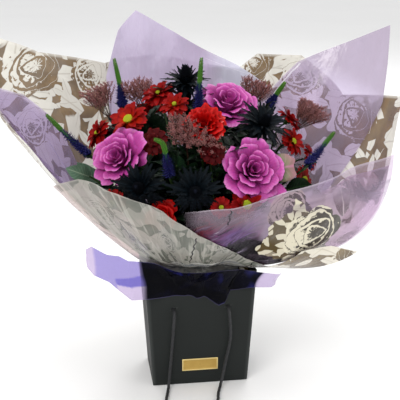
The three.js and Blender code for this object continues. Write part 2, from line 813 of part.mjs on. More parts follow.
// A flower head as one star-shaped body: rays of one or two kinds by turns round a domed crown.
function star({ count, valley, kinds, crown, foot, turn }, frame, owner) {
  const step = TURN / count;
  const place = (angle, r, z) => V(r * Math.cos(angle), r * Math.sin(angle), z);
  const rays = Array.from({ length: count }, (_, k) => {
    const { radius, lift, outline, ridge } = kinds[k % kinds.length];
    const middle = turn + k * step;
    const sway = Math.sin(k * 2.4 + turn * 5);
    const shape = ([extra, reach]) => {
      const tip = lift + extra + sway * radius * 0.07;
      const long = radius * reach * (1 + 0.04 * sway);
      const rim = outline.map(([aside, share]) => place(middle + aside * step, long * share, tip * share));
      const ends = [-0.5, 0.5].map((aside) => place(middle + aside * step, valley, 1.5));
      const over = place(middle, long * 0.5, tip * 0.5 + ridge);
      const under = place(middle, long * 0.5, tip * 0.5 - ridge * 0.8);
      return { rim: [ends[0], ...rim, ends[1]], over, under };
    };
    const way = RAY_WAYS.find((w) => isClear(toSolid(wedge(shape(w)).applyMatrix4(frame)), owner));
    return shape(way ?? [0, 0.35]);
  });
  const [crownRadius, crownHeight, top] = crown;
  const points = [V(0, 0, top), V(0, 0, foot)];
  const triangles = [];
  const firsts = rays.map(({ rim, over, under }, k) => {
    const first = points.length;
    points.push(place(turn + (k - 0.5) * step, crownRadius, crownHeight), over, under, ...rim.slice(0, -1));
    return first;
  });
  firsts.forEach((dome, k) => {
    const [over, under, low] = [dome + 1, dome + 2, dome + 3];
    const nextDome = firsts[(k + 1) % count];
    const next = nextDome + 3;
    const fan = [...rays[k].rim.slice(0, -1).map((_, i) => low + i), next];
    triangles.push(0, dome, nextDome, dome, low, over, dome, over, nextDome, nextDome, over, next);
    triangles.push(1, under, low, 1, next, under);
    for (let i = 0; i + 1 < fan.length; i++) {
      triangles.push(over, fan[i], fan[i + 1], under, fan[i + 1], fan[i]);
    }
  });
  return toSolid(geometryOf(points, triangles).applyMatrix4(frame));
}

const PETAL_RAY = [[-0.42, 0.93], [0.38, 1]];
const BRACT_RAY = [[-0.42, 0.7], [0, 1], [0.42, 0.7]];
const SPINE_RAY = [[0, 1]];

// A daisy chrysanthemum: petals lying and half raised by turns round a domed eye, over a calyx.
function daisy({ heart, axis, radius, small, roll }, owner) {
  const lying = { radius, lift: 2, ridge: 1, outline: PETAL_RAY };
  const raised = { ...lying, radius: radius * 0.84, lift: 8 };
  const shape = {
    count: small ? 10 : 12,
    valley: radius * 0.42,
    kinds: small ? [lying] : [lying, raised],
    crown: [radius * 0.26, 4.5, 6.5],
    foot: -8,
    turn: 0,
  };
  return star(shape, frameAt(heart, axis, roll), owner);
}

const LIMB_WAYS = [
  [0, 0, 0],
  [0, 0, -14],
  [0, 0, 12],
  [14, 0, 0],
  [-14, 0, 0],
  [0, 14, 0],
  [0, -14, 0],
  [18, 14, -10],
  [-18, 14, -10],
  [-18, -14, -10],
  [18, -14, -10],
  [0, 0, -30],
];

// A spray of daisies: a stalk that forks to each bloom.
function daisySpray(spray) {
  const parts = [stemSolid(spray)];
  for (const bloom of spray.blooms) {
    parts.push(daisy(bloom, spray.name));
    const top = bloom.neck.clone().addScaledVector(bloom.axis, 3);
    const bend = bloom.neck.clone().addScaledVector(bloom.axis, -14);
    const limb = (aside) => {
      const middle = spray.neck.clone().lerp(bend, 0.5).add(V(...aside));
      return rod([spray.neck, middle, bend, top], bloom.stem, 3);
    };
    parts.push(bentClear(LIMB_WAYS, spray.name, limb) ?? limb(LIMB_WAYS[0]));
  }
  return joined(parts);
}

// A sea holly: a dark cone in a ruff of toothed bracts, with shorter spines raised between them.
function seaHolly(head) {
  const { radius, cone } = head;
  const bract = { radius, lift: 8, ridge: 1.6, outline: BRACT_RAY };
  const spine = { radius: radius * 0.66, lift: 17, ridge: 1.4, outline: SPINE_RAY };
  const crown = [7, cone * 0.6, cone];
  const shape = { count: 14, valley: 7, kinds: [bract, spine], crown, foot: -10, turn: 0 };
  return joined([stemSolid(head), star(shape, frameAt(head.heart, head.axis, head.roll), head.name)]);
}

// Loops of points round a line between two shares of its length.
function loopsRound(line, from, to, rows, sides, radiusAt) {
  const loops = [];
  for (let i = 0; i <= rows; i++) {
    const share = mix(from, to, i / rows);
    const frame = frameAt(line.getPointAt(share), line.getTangentAt(share));
    const loop = [];
    for (let k = 0; k < sides; k++) {
      const angle = (TURN * k) / sides;
      const r = radiusAt(i, k);
      loop.push(V(r * Math.cos(angle), r * Math.sin(angle), 0).applyMatrix4(frame));
    }
    loops.push(loop);
  }
  return loops;
}

// A speedwell's stalk, the core of its spike and its green tip of shut buds.
function speedwellGreens(head) {
  const { line, blue } = head;
  const foot = loopsRound(line, 0, SPIKE_FOOT, 1, 5, () => SPIKE_CORE).slice(0, 1);
  const core = loopsRound(line, SPIKE_FOOT, blue, 2, 5, () => SPIKE_CORE);
  const tip = [3.3, 3.7, 2.8, 0.7];
  const buds = loopsRound(line, blue + 0.03, 1, tip.length - 1, 5, (i) => tip[i]);
  return joined([stemSolid(head), toSolid(loft([...foot, ...core, ...buds]))]);
}

// The blue florets of a speedwell: a closed sleeve in relief round the core of its spike.
function speedwellFlorets({ line, blue }) {
  const rows = 5;
  const outer = loopsRound(line, SPIKE_FOOT, blue, rows, 5, (i, k) => {
    const girth = mix(7.6, 5, i / rows);
    return girth * ((i + k) % 2 ? 1 : 0.7);
  });
  const inner = loopsRound(line, SPIKE_FOOT, blue, 2, 5, () => SPIKE_CORE + 0.6).reverse();
  return toSolid(loft([...outer, ...inner], true));
}

// Sea lavender: a stalk that forks into wiry twigs, each with small papery tufts along it.
function seaLavender(head, random) {
  const parts = [stemSolid(head)];
  const count = 5;
  for (let k = 0; k < count; k++) {
    const branch = bentClear([0, 1, 2, 3, 4, 5], head.name, (way) => {
      const angle = (TURN * k) / count + random() * 0.9 + way * 0.35;
      const aside = head.radius * (k === 0 ? 0.15 : 0.55 + 0.45 * random()) * (1 - way * 0.1);
      const tip = V(aside * Math.cos(angle), aside * Math.sin(angle), 4 - aside * 0.25 + 8 * random());
      const frame = frameAt(head.heart, head.axis);
      const bend = V(tip.x * 0.6, tip.y * 0.6, -18);
      const line = [V(0, 0, -head.depth), bend, tip].map((p) => p.applyMatrix4(frame));
      const twig = new THREE.CatmullRomCurve3(line);
      return rod(TUFT_PLACES.map((share) => twig.getPointAt(share)), TUFT_GIRTHS, 3);
    });
    if (branch) parts.push(branch);
  }
  return joined(parts);
}

const TUFT_PLACES = [0, 0.5, 0.6, 0.7, 0.78, 0.88, 1];
const TUFT_GIRTHS = [0.8, 0.8, 2.8, 0.8, 2.9, 1.6, 0.6];

// A leaf in its own frame: along x from its root, folded up along its rib, its rim waved.
function leafBlade({ long, wide, arch, wave }) {
  const rows = [];
  const count = 3;
  for (let i = 0; i < count; i++) {
    const along = i / count;
    const half = (wide / 2) * [0.12, 0.95, 0.9][i];
    const x = long * along;
    const z = arch * long * along * (1 - along * 0.8);
    const lift = 0.22 * half + wave * (i % 2 ? 1 : -1);
    rows.push([V(x, -half, z + lift), V(x, 0, z), V(x, half, z + lift)]);
  }
  rows.push([V(long, 0, arch * long * 0.2)]);
  return blade(rows, 1.4);
}

// A leafy stalk: leaves stand out round its upper length, each bent clear of the blooms.
function leafyStalk(head, random) {
  const parts = [stemSolid(head)];
  const { neck, axis, long, wide, leaves } = head;
  for (let k = 0; k < leaves; k++) {
    const share = k / leaves;
    const z = neck.z - LEAFY * share;
    const root = k === 0 ? neck.clone() : stemAt(head, z);
    const spin = k * 2.4 + random() * 0.5;
    const leaf = bentClear([0, 1, 2, 3, 4, 5, 6, 7], head.name, (way) => {
      const pitch = (k === 0 ? -1.35 : -0.75) - 0.16 * (way >> 1) * (k === 0 ? -1 : 1);
      const turn = spin + 0.5 * (way % 2 ? 1 : -1) * way * 0.5;
      const size = (1 - way * 0.06) * (0.85 + 0.3 * random());
      const shape = leafBlade({ long: long * size, wide: wide * size, arch: 0.25, wave: 0.8 });
      shape.translate(-1, 0, 0).rotateY(pitch).rotateZ(turn);
      return toSolid(shape.applyMatrix4(frameAt(root, axis)));
    });
    if (leaf) parts.push(leaf);
  }
  return joined(parts);
}

// The heads: name, heart, way it faces, size and roll
const KALES = [
  { name: "kale_left", heart: [-120, -74, 374], axis: [-0.5, -0.66, 0.56], radius: 45, roll: 0.4 },
  { name: "kale_right", heart: [64, -120, 360], axis: [0.12, -0.86, 0.5], radius: 47, roll: 1.3 },
  { name: "kale_top", heart: [46, -24, 436], axis: [0.15, -0.55, 0.82], radius: 45, roll: 2.2 },
  { name: "kale_back", heart: [26, 98, 392], axis: [0.1, 0.75, 0.66], radius: 43, roll: 0.9 },
].map((kale) => ({ ...kale, sides: 5, ...headOf(kale.name, kale.heart, kale.axis, 13 - KALE_FOOT, 3.6) }));

const CARNATIONS = [
  { name: "carnation_top", heart: [0, -84, 420], axis: [-0.1, -0.6, 0.8], radius: 33, roll: 0.5 },
  { name: "carnation_front", heart: [-66, -123, 300], axis: [-0.35, -0.85, 0.4], radius: 26, roll: 1 },
  { name: "carnation_back", heart: [-66, 74, 402], axis: [-0.3, 0.6, 0.74], radius: 30, roll: 0.2 },
].map((bloom) => ({ ...bloom, ...headOf(bloom.name, bloom.heart, bloom.axis, 14 - CARNATION_FOOT, 2.4) }));

// Sprays of daisies: heart, way it faces, radius, and whether the bloom is a small single one
const DAISY_SPRAYS = Object.entries({
  daisies_left: [
    [[-100, -34, 414], [-0.45, -0.5, 0.74], 31, false],
    [[-142, -4, 388], [-0.8, -0.2, 0.57], 25, false],
    [[-128, -98, 312], [-0.6, -0.72, 0.3], 21, true],
  ],
  daisies_top: [
    [[-54, 2, 442], [-0.3, -0.3, 0.9], 27, false],
    [[-36, -46, 436], [-0.3, -0.5, 0.8], 22, false],
    [[-70, -88, 396], [-0.4, -0.75, 0.5], 20, true],
  ],
  daisies_front: [
    [[50, -137, 315], [0.2, -0.93, 0.32], 24, false],
    [[15, -140, 314], [0, -0.95, 0.3], 15, true],
    [[8, -112, 384], [0, -0.85, 0.5], 18, true],
  ],
  daisies_right: [
    [[138, 2, 398], [0.7, -0.1, 0.7], 24, false],
    [[132, -50, 378], [0.65, -0.6, 0.5], 23, false],
    [[166, -24, 346], [0.9, -0.35, 0.3], 22, true],
    [[146, -66, 326], [0.75, -0.65, 0.2], 21, true],
  ],
  daisies_back: [
    [[86, 70, 398], [0.5, 0.55, 0.66], 25, false],
    [[-20, 40, 446], [-0.1, 0.3, 0.95], 23, true],
    [[-124, 60, 368], [-0.7, 0.5, 0.5], 24, true],
  ],
}).map(([name, list]) => {
  const blooms = list.map(([heart, axis, radius, small], k) => ({
    ...headOf(name, heart, axis, 8, 1.5),
    radius,
    small,
    roll: 0.7 * k,
  }));
  const middle = blooms.reduce((sum, bloom) => sum.add(bloom.neck), V(0, 0, 0)).divideScalar(blooms.length);
  const neck = V(middle.x * 0.67, middle.y * 0.67, middle.z - 62);
  return { name, blooms, neck, axis: V(0, 0, 1), stem: 2.2 };
});

const SEA_HOLLIES = [
  {
    name: "sea_holly_right", heart: [86, -62, 408], axis: [0.35, -0.5, 0.8],
    radius: 44, roll: 0, cone: 20,
  },
  {
    name: "sea_holly_left", heart: [-92, -116, 338], axis: [-0.4, -0.8, 0.4],
    radius: 40, roll: 0.3, cone: 19,
  },
  {
    name: "sea_holly_front", heart: [-20, -138, 336], axis: [-0.1, -0.9, 0.4],
    radius: 42, roll: 0.2, cone: 19,
  },
  {
    name: "sea_holly_top", heart: [-14, 4, 458], axis: [-0.05, -0.15, 0.98],
    radius: 38, roll: 0.6, cone: 26,
  },
  {
    name: "sea_holly_back", heart: [84, 112, 352], axis: [0.5, 0.7, 0.4],
    radius: 40, roll: 0.1, cone: 20,
  },
].map((head) => ({ ...head, ...headOf(head.name, head.heart, head.axis, 8, 2) }));

// Speedwell spikes: from base to tip, with the share of it that is in blue florets
const SPEEDWELLS = [
  { name: "speedwell_left", spike: [[-104, 24, 418], [-108, 30, 452], [-115, 38, 490]], blue: 0.45 },
  { name: "speedwell_top", spike: [[-2, -44, 424], [0, -38, 462], [4, -30, 500]], blue: 0.5 },
  {
    name: "speedwell_far_left", spike: [[-154, -24, 360], [-187, -4, 387], [-216, 14, 415]],
    blue: 0.62,
  },
  {
    name: "speedwell_middle", spike: [[-52, -118, 352], [-57, -126, 380], [-62, -122, 402], [-72, -114, 406]],
    blue: 0.55,
  },
  { name: "speedwell_right", spike: [[146, -86, 350], [174, -56, 368], [201, -28, 385]], blue: 0.6 },
  { name: "speedwell_back", spike: [[112, 22, 414], [124, 20, 434], [136, 18, 452]], blue: 0.45 },
].map((head) => {
  const points = head.spike.map((p) => V(...p));
  const axis = points[1].clone().sub(points[0]);
  const line = new THREE.CatmullRomCurve3(points);
  return { ...head, line, ...headOf(head.name, head.spike[0], axis.toArray(), 2, 1.6) };
});

const SEA_LAVENDERS = [
  { name: "sea_lavender_left", heart: [-140, 40, 440], axis: [-0.4, 0.1, 0.9], radius: 26 },
  { name: "sea_lavender_top", heart: [-82, 30, 452], axis: [-0.2, 0, 0.97], radius: 26 },
  { name: "sea_lavender_middle", heart: [-32, -96, 420], axis: [-0.2, -0.5, 0.84], radius: 27 },
  { name: "sea_lavender_right", heart: [176, 10, 414], axis: [0.6, 0, 0.8], radius: 27 },
  { name: "sea_lavender_far", heart: [96, 24, 448], axis: [0.3, 0, 0.95], radius: 26 },
].map((head) => ({ ...head, depth: 44, ...headOf(head.name, head.heart, head.axis, 44, 1.4) }));

const LEAFY_STALKS = [
  {
    name: "leaves_left", heart: [-158, -30, 332], axis: [-0.8, -0.4, 0.45],
    long: 48, wide: 26, leaves: 5,
  },
  {
    name: "leaves_front", heart: [-42, -112, 366], axis: [-0.1, -0.8, 0.6],
    long: 46, wide: 22, leaves: 6,
  },
  {
    name: "leaves_middle", heart: [24, -104, 378], axis: [0, -0.6, 0.8],
    long: 46, wide: 22, leaves: 6,
  },
  {
    name: "leaves_right", heart: [116, -100, 322], axis: [0.6, -0.75, 0.3],
    long: 48, wide: 24, leaves: 5,
  },
  {
    name: "leaves_back", heart: [-36, 104, 380], axis: [-0.2, 0.8, 0.5],
    long: 48, wide: 24, leaves: 5,
  },
].map((head) => ({ ...head, ...headOf(head.name, head.heart, head.axis, 2, 1.6) }));

const ALL_HEADS = [
  ...KALES,
  ...CARNATIONS,
  ...DAISY_SPRAYS,
  ...SEA_HOLLIES,
  ...SPEEDWELLS,
  ...SEA_LAVENDERS,
  ...LEAFY_STALKS,
];
settleStems(ALL_HEADS);
const stalkOf = (head) => (KALES.includes(head) ? head.name + "_greens" : head.name);
for (const head of ALL_HEADS) keep(stemSolid(head), stalkOf(head));

// The tie: a band as snug round the gathered stems as clears them all
function tie() {
  const spots = [...stemsDrawnIn.values()];
  const snug = Math.max(...spots.map((spot) => Math.hypot(spot.x, spot.y) + spot.r));
  const [low, high] = [TIE_Z - TIE_WIDTH / 2, TIE_Z + TIE_WIDTH / 2];
  return bentClear([...Array(20).keys()], "tie", (step) => {
    const inner = snug + 0.3 * step;
    const outer = inner + 1.6;
    const outside = [[outer, low], [outer + 0.8, TIE_Z], [outer, high]];
    return toSolid(turned([[inner, low], ...outside, [inner, high], [inner, low]], 14));
  });
}

const LOOKS = {
  kale: [0xb0489a, 0.6],
  green: [0x3f6b38, 0.7],
  red: [0xc01618, 0.6],
  daisy: [0xa8141a, 0.6],
  holly: [0x141c2c, 0.6],
  blue: [0x2a3a98, 0.7],
  mauve: [0x8a6a80, 0.8],
};

part("tie", keep(tie(), "tie"), 0x6a4a2c, 0.8);
for (const kale of KALES) {
  const frame = frameAt(kale.heart, kale.axis, kale.roll);
  const petals = toSolid(toGeometry(kaleRosette(kale.radius)).applyMatrix4(frame));
  part(kale.name, keep(petals, kale.name), ...LOOKS.kale);
}
for (const bloom of CARNATIONS) {
  const frame = frameAt(bloom.heart, bloom.axis, bloom.roll);
  const petals = toSolid(toGeometry(carnationPetals(bloom.radius)).applyMatrix4(frame));
  part(bloom.name, keep(petals, bloom.name), ...LOOKS.red);
  part(bloom.name + "_greens", keep(carnationGreens(bloom), bloom.name), ...LOOKS.green);
}
for (const spray of DAISY_SPRAYS) part(spray.name, keep(daisySpray(spray), spray.name), ...LOOKS.daisy);
for (const head of SPEEDWELLS) {
  part(head.name, keep(speedwellGreens(head), head.name), ...LOOKS.green);
  part(head.name + "_florets", keep(speedwellFlorets(head), head.name), ...LOOKS.blue);
}
for (const head of SEA_HOLLIES) part(head.name, keep(seaHolly(head), head.name), ...LOOKS.holly);
for (const kale of KALES) {
  part(kale.name + "_greens", keep(kaleGreens(kale, kale.radius), stalkOf(kale)), ...LOOKS.green);
}
const random = randomFrom(SEED);
for (const head of SEA_LAVENDERS) part(head.name, keep(seaLavender(head, random), head.name), ...LOOKS.mauve);
for (const head of LEAFY_STALKS) part(head.name, keep(leafyStalk(head, random), head.name), ...LOOKS.green);

export default bouquet;
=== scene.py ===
"""A mixed bouquet wrapped in layered film, standing in a small black card gift bag, as it looks.

Every helper works in millimetres, +Z up, front towards -Y, and a piece's mesh is made in metres.
"""

import math

import bpy
import numpy as np
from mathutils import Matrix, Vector


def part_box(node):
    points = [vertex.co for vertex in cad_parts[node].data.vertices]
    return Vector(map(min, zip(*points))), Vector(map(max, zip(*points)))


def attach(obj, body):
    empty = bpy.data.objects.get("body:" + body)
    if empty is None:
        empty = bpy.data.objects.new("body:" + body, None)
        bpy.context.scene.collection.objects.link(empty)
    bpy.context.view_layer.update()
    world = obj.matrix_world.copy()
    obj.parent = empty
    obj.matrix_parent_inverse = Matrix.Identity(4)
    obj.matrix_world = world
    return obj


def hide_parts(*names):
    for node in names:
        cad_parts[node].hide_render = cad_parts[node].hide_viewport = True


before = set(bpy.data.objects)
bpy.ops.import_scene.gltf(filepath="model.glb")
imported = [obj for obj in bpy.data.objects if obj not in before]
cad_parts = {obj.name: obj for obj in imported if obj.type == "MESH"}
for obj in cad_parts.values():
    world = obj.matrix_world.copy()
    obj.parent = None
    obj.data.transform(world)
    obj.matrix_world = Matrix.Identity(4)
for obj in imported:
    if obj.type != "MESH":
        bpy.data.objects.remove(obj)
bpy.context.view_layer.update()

MM = 0.001
TURN = 2 * math.pi
# The angle from one floret to the next round a flower's spiral
GOLDEN = 2.39996
scene = bpy.context.scene

# The camera, at the photograph's angle
CAMERA = {"target": (0.006, 0.0, 0.280), "azimuth": -8.0, "elevation": 18.0, "distance": 1.5, "lens": 90.0}


def add_camera():
    azimuth, elevation = math.radians(CAMERA["azimuth"]), math.radians(CAMERA["elevation"])
    level = math.cos(elevation)
    back = Vector((math.sin(azimuth) * level, -math.cos(azimuth) * level, math.sin(elevation)))
    data = bpy.data.cameras.new("camera")
    data.sensor_width = 36.0
    data.lens = CAMERA["lens"]
    data.clip_end = 30.0
    camera = bpy.data.objects.new("camera", data)
    camera.location = Vector(CAMERA["target"]) + back * CAMERA["distance"]
    camera.rotation_euler = back.to_track_quat("Z", "Y").to_euler()
    scene.collection.objects.link(camera)
    scene.camera = camera


add_camera()


# Small tools
def lerp(a, b, t):
    return a + (b - a) * t


def ease(t):
    t = np.clip(t, 0.0, 1.0)
    return t * t * (3 - 2 * t)


def vec(*values):
    return np.array(values, float)


def unit(v):
    v = np.asarray(v, float)
    return v / np.linalg.norm(v)


def units(rows):
    return rows / np.linalg.norm(rows, axis=1)[:, None]


def bearing_way(angle, rise):
    """A way out at an angle, in radians, rising by a share."""
    return vec(math.cos(angle), math.sin(angle), rise)


def waves(seed, count=5, low=1.0, high=4.0):
    """A smooth wandering function of two numbers, about -1 to 1, from a few seeded waves."""
    draw = np.random.default_rng(seed)
    spins = draw.uniform(0, TURN, count)
    pitch = draw.uniform(low, high, count)
    phase = draw.uniform(0, TURN, count)

    def value(a, b):
        total = 0.0
        for spin, k, start in zip(spins, pitch, phase):
            total = total + np.sin(k * (a * math.cos(spin) + b * math.sin(spin)) + start)
        return total / count**0.75

    return value


class Frame:
    """A head's frame: its origin, with z out along its axis and a roll about it."""

    def __init__(self, origin, axis, roll=0.0):
        z = unit(axis)
        side = vec(1, 0, 0) if abs(z[2]) > 0.95 else unit(np.cross(vec(0, 0, 1), z))
        x = unit(side - z * side.dot(z))
        y = np.cross(z, x)
        c, s = math.cos(roll), math.sin(roll)
        self.turn = np.stack([x * c + y * s, y * c - x * s, z])
        self.origin = np.asarray(origin, float)

    def place(self, points):
        points = np.asarray(points, float)
        rows = points if points.ndim < 3 else points.reshape(-1, 3)
        return (rows @ self.turn + self.origin).reshape(points.shape)

    def local(self, points):
        return (np.asarray(points, float) - self.origin) @ self.turn.T


def frame_of(head):
    return Frame(head["heart"], head["axis"], head.get("roll", 0.0))


def curve_line(points, per=12):
    """Points on the centripetal Catmull-Rom line through points."""
    p = np.asarray(points, float)
    ends = np.vstack([2 * p[0] - p[1], p, 2 * p[-1] - p[-2]])
    t = (np.arange(per) / per)[:, None]
    line = []
    for i in range(1, len(ends) - 2):
        x0, x1, x2, x3 = ends[i - 1 : i + 3]
        d0, d1, d2 = (max(math.sqrt(np.linalg.norm(b - a)), 1e-6) for a, b in ((x0, x1), (x1, x2), (x2, x3)))
        t1 = ((x1 - x0) / d0 - (x2 - x0) / (d0 + d1) + (x2 - x1) / d1) * d1
        t2 = ((x2 - x1) / d1 - (x3 - x1) / (d1 + d2) + (x3 - x2) / d2) * d1
        square, cube = -3 * x1 + 3 * x2 - 2 * t1 - t2, 2 * x1 - 2 * x2 + t1 + t2
        line.append(x1 + t1 * t + square * t**2 + cube * t**3)
    return np.vstack(line + [p[-1:]])


def run_lengths(line):
    """How far each point of a line is along it."""
    return np.concatenate([[0], np.cumsum(np.linalg.norm(np.diff(line, axis=0), axis=1))])


def spaced(line, shares):
    """Points of a line at shares of its length."""
    length = run_lengths(line)
    at = np.asarray(shares, float) * length[-1]
    return np.stack([np.interp(at, length, line[:, n]) for n in range(3)], axis=-1)


def nearest(corners, point):
    return float(np.linalg.norm(corners - point, axis=1).min())


def turned_rings(profile, ways):
    """Rings round the z axis, one for each radius and height."""
    return np.array([np.column_stack([r * np.cos(ways), r * np.sin(ways), 0 * ways + z]) for r, z in profile])


def shading(rows, columns, along=0.0, aside=0.0, tone=0.0, kind=0.0):
    """A grid's shades: each value is one number, or an array that spreads over rows and columns."""
    look = np.zeros((rows, columns, 4))
    for n, value in enumerate((along, aside, tone, kind)):
        look[..., n] = value
    return look


def down_rows(count):
    return np.linspace(0, 1, count)[:, None]


class Skin:
    """The points and faces of one piece. Each point has a shade: along, aside, tone and kind."""

    def __init__(self):
        self.points, self.shades, self.flats = [], [], []
        self.quads, self.tris = [np.zeros((0, 4), int)], [np.zeros((0, 3), int)]
        self.quad_finish, self.tri_finish = [], []
        self.count = 0

    def add_points(self, points, shades, flats=None):
        points = np.asarray(points, float).reshape(-1, 3)
        first = self.count
        self.points.append(points)
        self.shades.append(np.broadcast_to(np.asarray(shades, float).reshape(-1, 4), (len(points), 4)))
        self.flats.append(np.zeros((len(points), 3)) if flats is None else flats.reshape(-1, 3))
        self.count += len(points)
        return first

    def add_tris(self, tris, finish):
        self.tris.append(tris)
        self.tri_finish.append(np.full(len(tris), finish))

    def grid(self, points, shades, finish=0, wrap=False, flats=None):
        """A surface over rows and columns of points. With wrap, the last column joins the first."""
        rows, columns = points.shape[:2]
        index = self.add_points(points, shades, flats) + np.arange(rows * columns).reshape(rows, columns)
        if wrap:
            index = np.concatenate([index, index[:, :1]], axis=1)
        corners = index[:-1, :-1], index[:-1, 1:], index[1:, 1:], index[1:, :-1]
        quads = np.stack(corners, axis=-1).reshape(-1, 4)
        self.quads.append(quads)
        self.quad_finish.append(np.broadcast_to(finish, len(quads)))
        return index

    def many(self, points, triangles, shades, finish=0):
        """Copies of one small shape: points is copies by points by 3, shades copies by points by 4."""
        copies, per = points.shape[:2]
        offsets = self.add_points(points, shades) + np.arange(copies)[:, None, None] * per
        self.add_tris((np.array(triangles)[None] + offsets).reshape(-1, 3), finish)

    def tube(self, line, girth, sides, tone=0.0, finish=0, relief=None, look=None):
        """A closed tube along a line. girth is one number or one for each point."""
        line = np.asarray(line, float)
        girths = np.broadcast_to(np.asarray(girth, float), (len(line),))
        angle = TURN * (np.arange(sides) + 0.5) / sides
        across = vec(1, 0, 0)
        rings = []
        for i, point in enumerate(line):
            along = unit(line[min(i + 1, len(line) - 1)] - line[max(i - 1, 0)])
            across = across - along * across.dot(along)
            if np.linalg.norm(across) < 1e-4:
                across = np.cross(along, vec(0, 1, 0.3))
            across = unit(across)
            up = np.cross(along, across)
            swell = relief(i, angle) if relief else np.ones(sides)
            out = np.cos(angle)[:, None] * across + np.sin(angle)[:, None] * up
            rings.append(point + out * (girths[i] * swell)[:, None])
        if look is None:
            look = shading(len(line), sides, down_rows(len(line)), tone=tone)
        index = self.grid(np.array(rings), look, finish, wrap=True)
        for ring, order in ((index[0], 1), (index[-1], -1)):
            fan = np.array([(ring[0], ring[k + 1], ring[k]) for k in range(1, sides - 1)])
            self.add_tris(fan[:, ::order], finish)

    def mesh(self, name):
        quads, tris = np.vstack(self.quads), np.vstack(self.tris)
        mesh = bpy.data.meshes.new(name)
        mesh.vertices.add(self.count)
        mesh.vertices.foreach_set("co", (np.vstack(self.points) * MM).ravel())
        loops = np.concatenate([quads.ravel(), tris.ravel()]).astype(np.int32)
        mesh.loops.add(len(loops))
        mesh.loops.foreach_set("vertex_index", loops)
        starts = np.concatenate([np.arange(len(quads)) * 4, len(quads) * 4 + np.arange(len(tris)) * 3])
        mesh.polygons.add(len(starts))
        mesh.polygons.foreach_set("loop_start", starts.astype(np.int32))
        finishes = np.concatenate(self.quad_finish + self.tri_finish).astype(np.int32)
        mesh.polygons.foreach_set("material_index", finishes)
        shade = mesh.color_attributes.new("shade", "FLOAT_COLOR", "POINT")
        shade.data.foreach_set("color", np.vstack(self.shades).ravel())
        flat = mesh.attributes.new("flat", "FLOAT_VECTOR", "POINT")
        flat.data.foreach_set("vector", np.vstack(self.flats).ravel())
        mesh.update(calc_edges=True)
        mesh.validate()
        mesh.shade_smooth()
        return mesh


def add_object(name, data):
    thing = bpy.data.objects.new(name, data)
    scene.collection.objects.link(thing)
    return thing


def add_piece(name, skin, finishes, nodes=()):
    """The piece rides on the one body, takes its finish from a slot and may stand for CAD nodes."""
    mesh = skin.mesh(name)
    for finish in finishes:
        mesh.materials.append(finish)
    piece = add_object(name, mesh)
    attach(piece, "root")
    if nodes:
        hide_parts(*nodes)
    return piece


def node_points(name):
    """The corners of a CAD node, in millimetres."""
    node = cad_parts[name]
    return np.array([node.matrix_world @ v.co for v in node.data.vertices]) / MM


def box_of(name):
    """A CAD node's low and high corners and its middle, in millimetres."""
    low, high = (np.array(c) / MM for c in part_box(name))
    return low, high, (low + high) / 2


# Materials
def opaque(colour):
    """A colour or a grey, as a colour socket takes it."""
    return (*colour, 1.0) if isinstance(colour, tuple) else (colour, colour, colour, 1.0)


def rgb(r, g, b):
    """A screen colour, 0 to 255, as the linear colour that the shaders take."""
    shares = (c / 255 for c in (r, g, b))
    return tuple(c / 12.92 if c <= 0.04045 else ((c + 0.055) / 1.055) ** 2.4 for c in shares)


def shaded(colour):
    """The same colour in deep shade."""
    return tuple(c * 0.25 for c in colour)


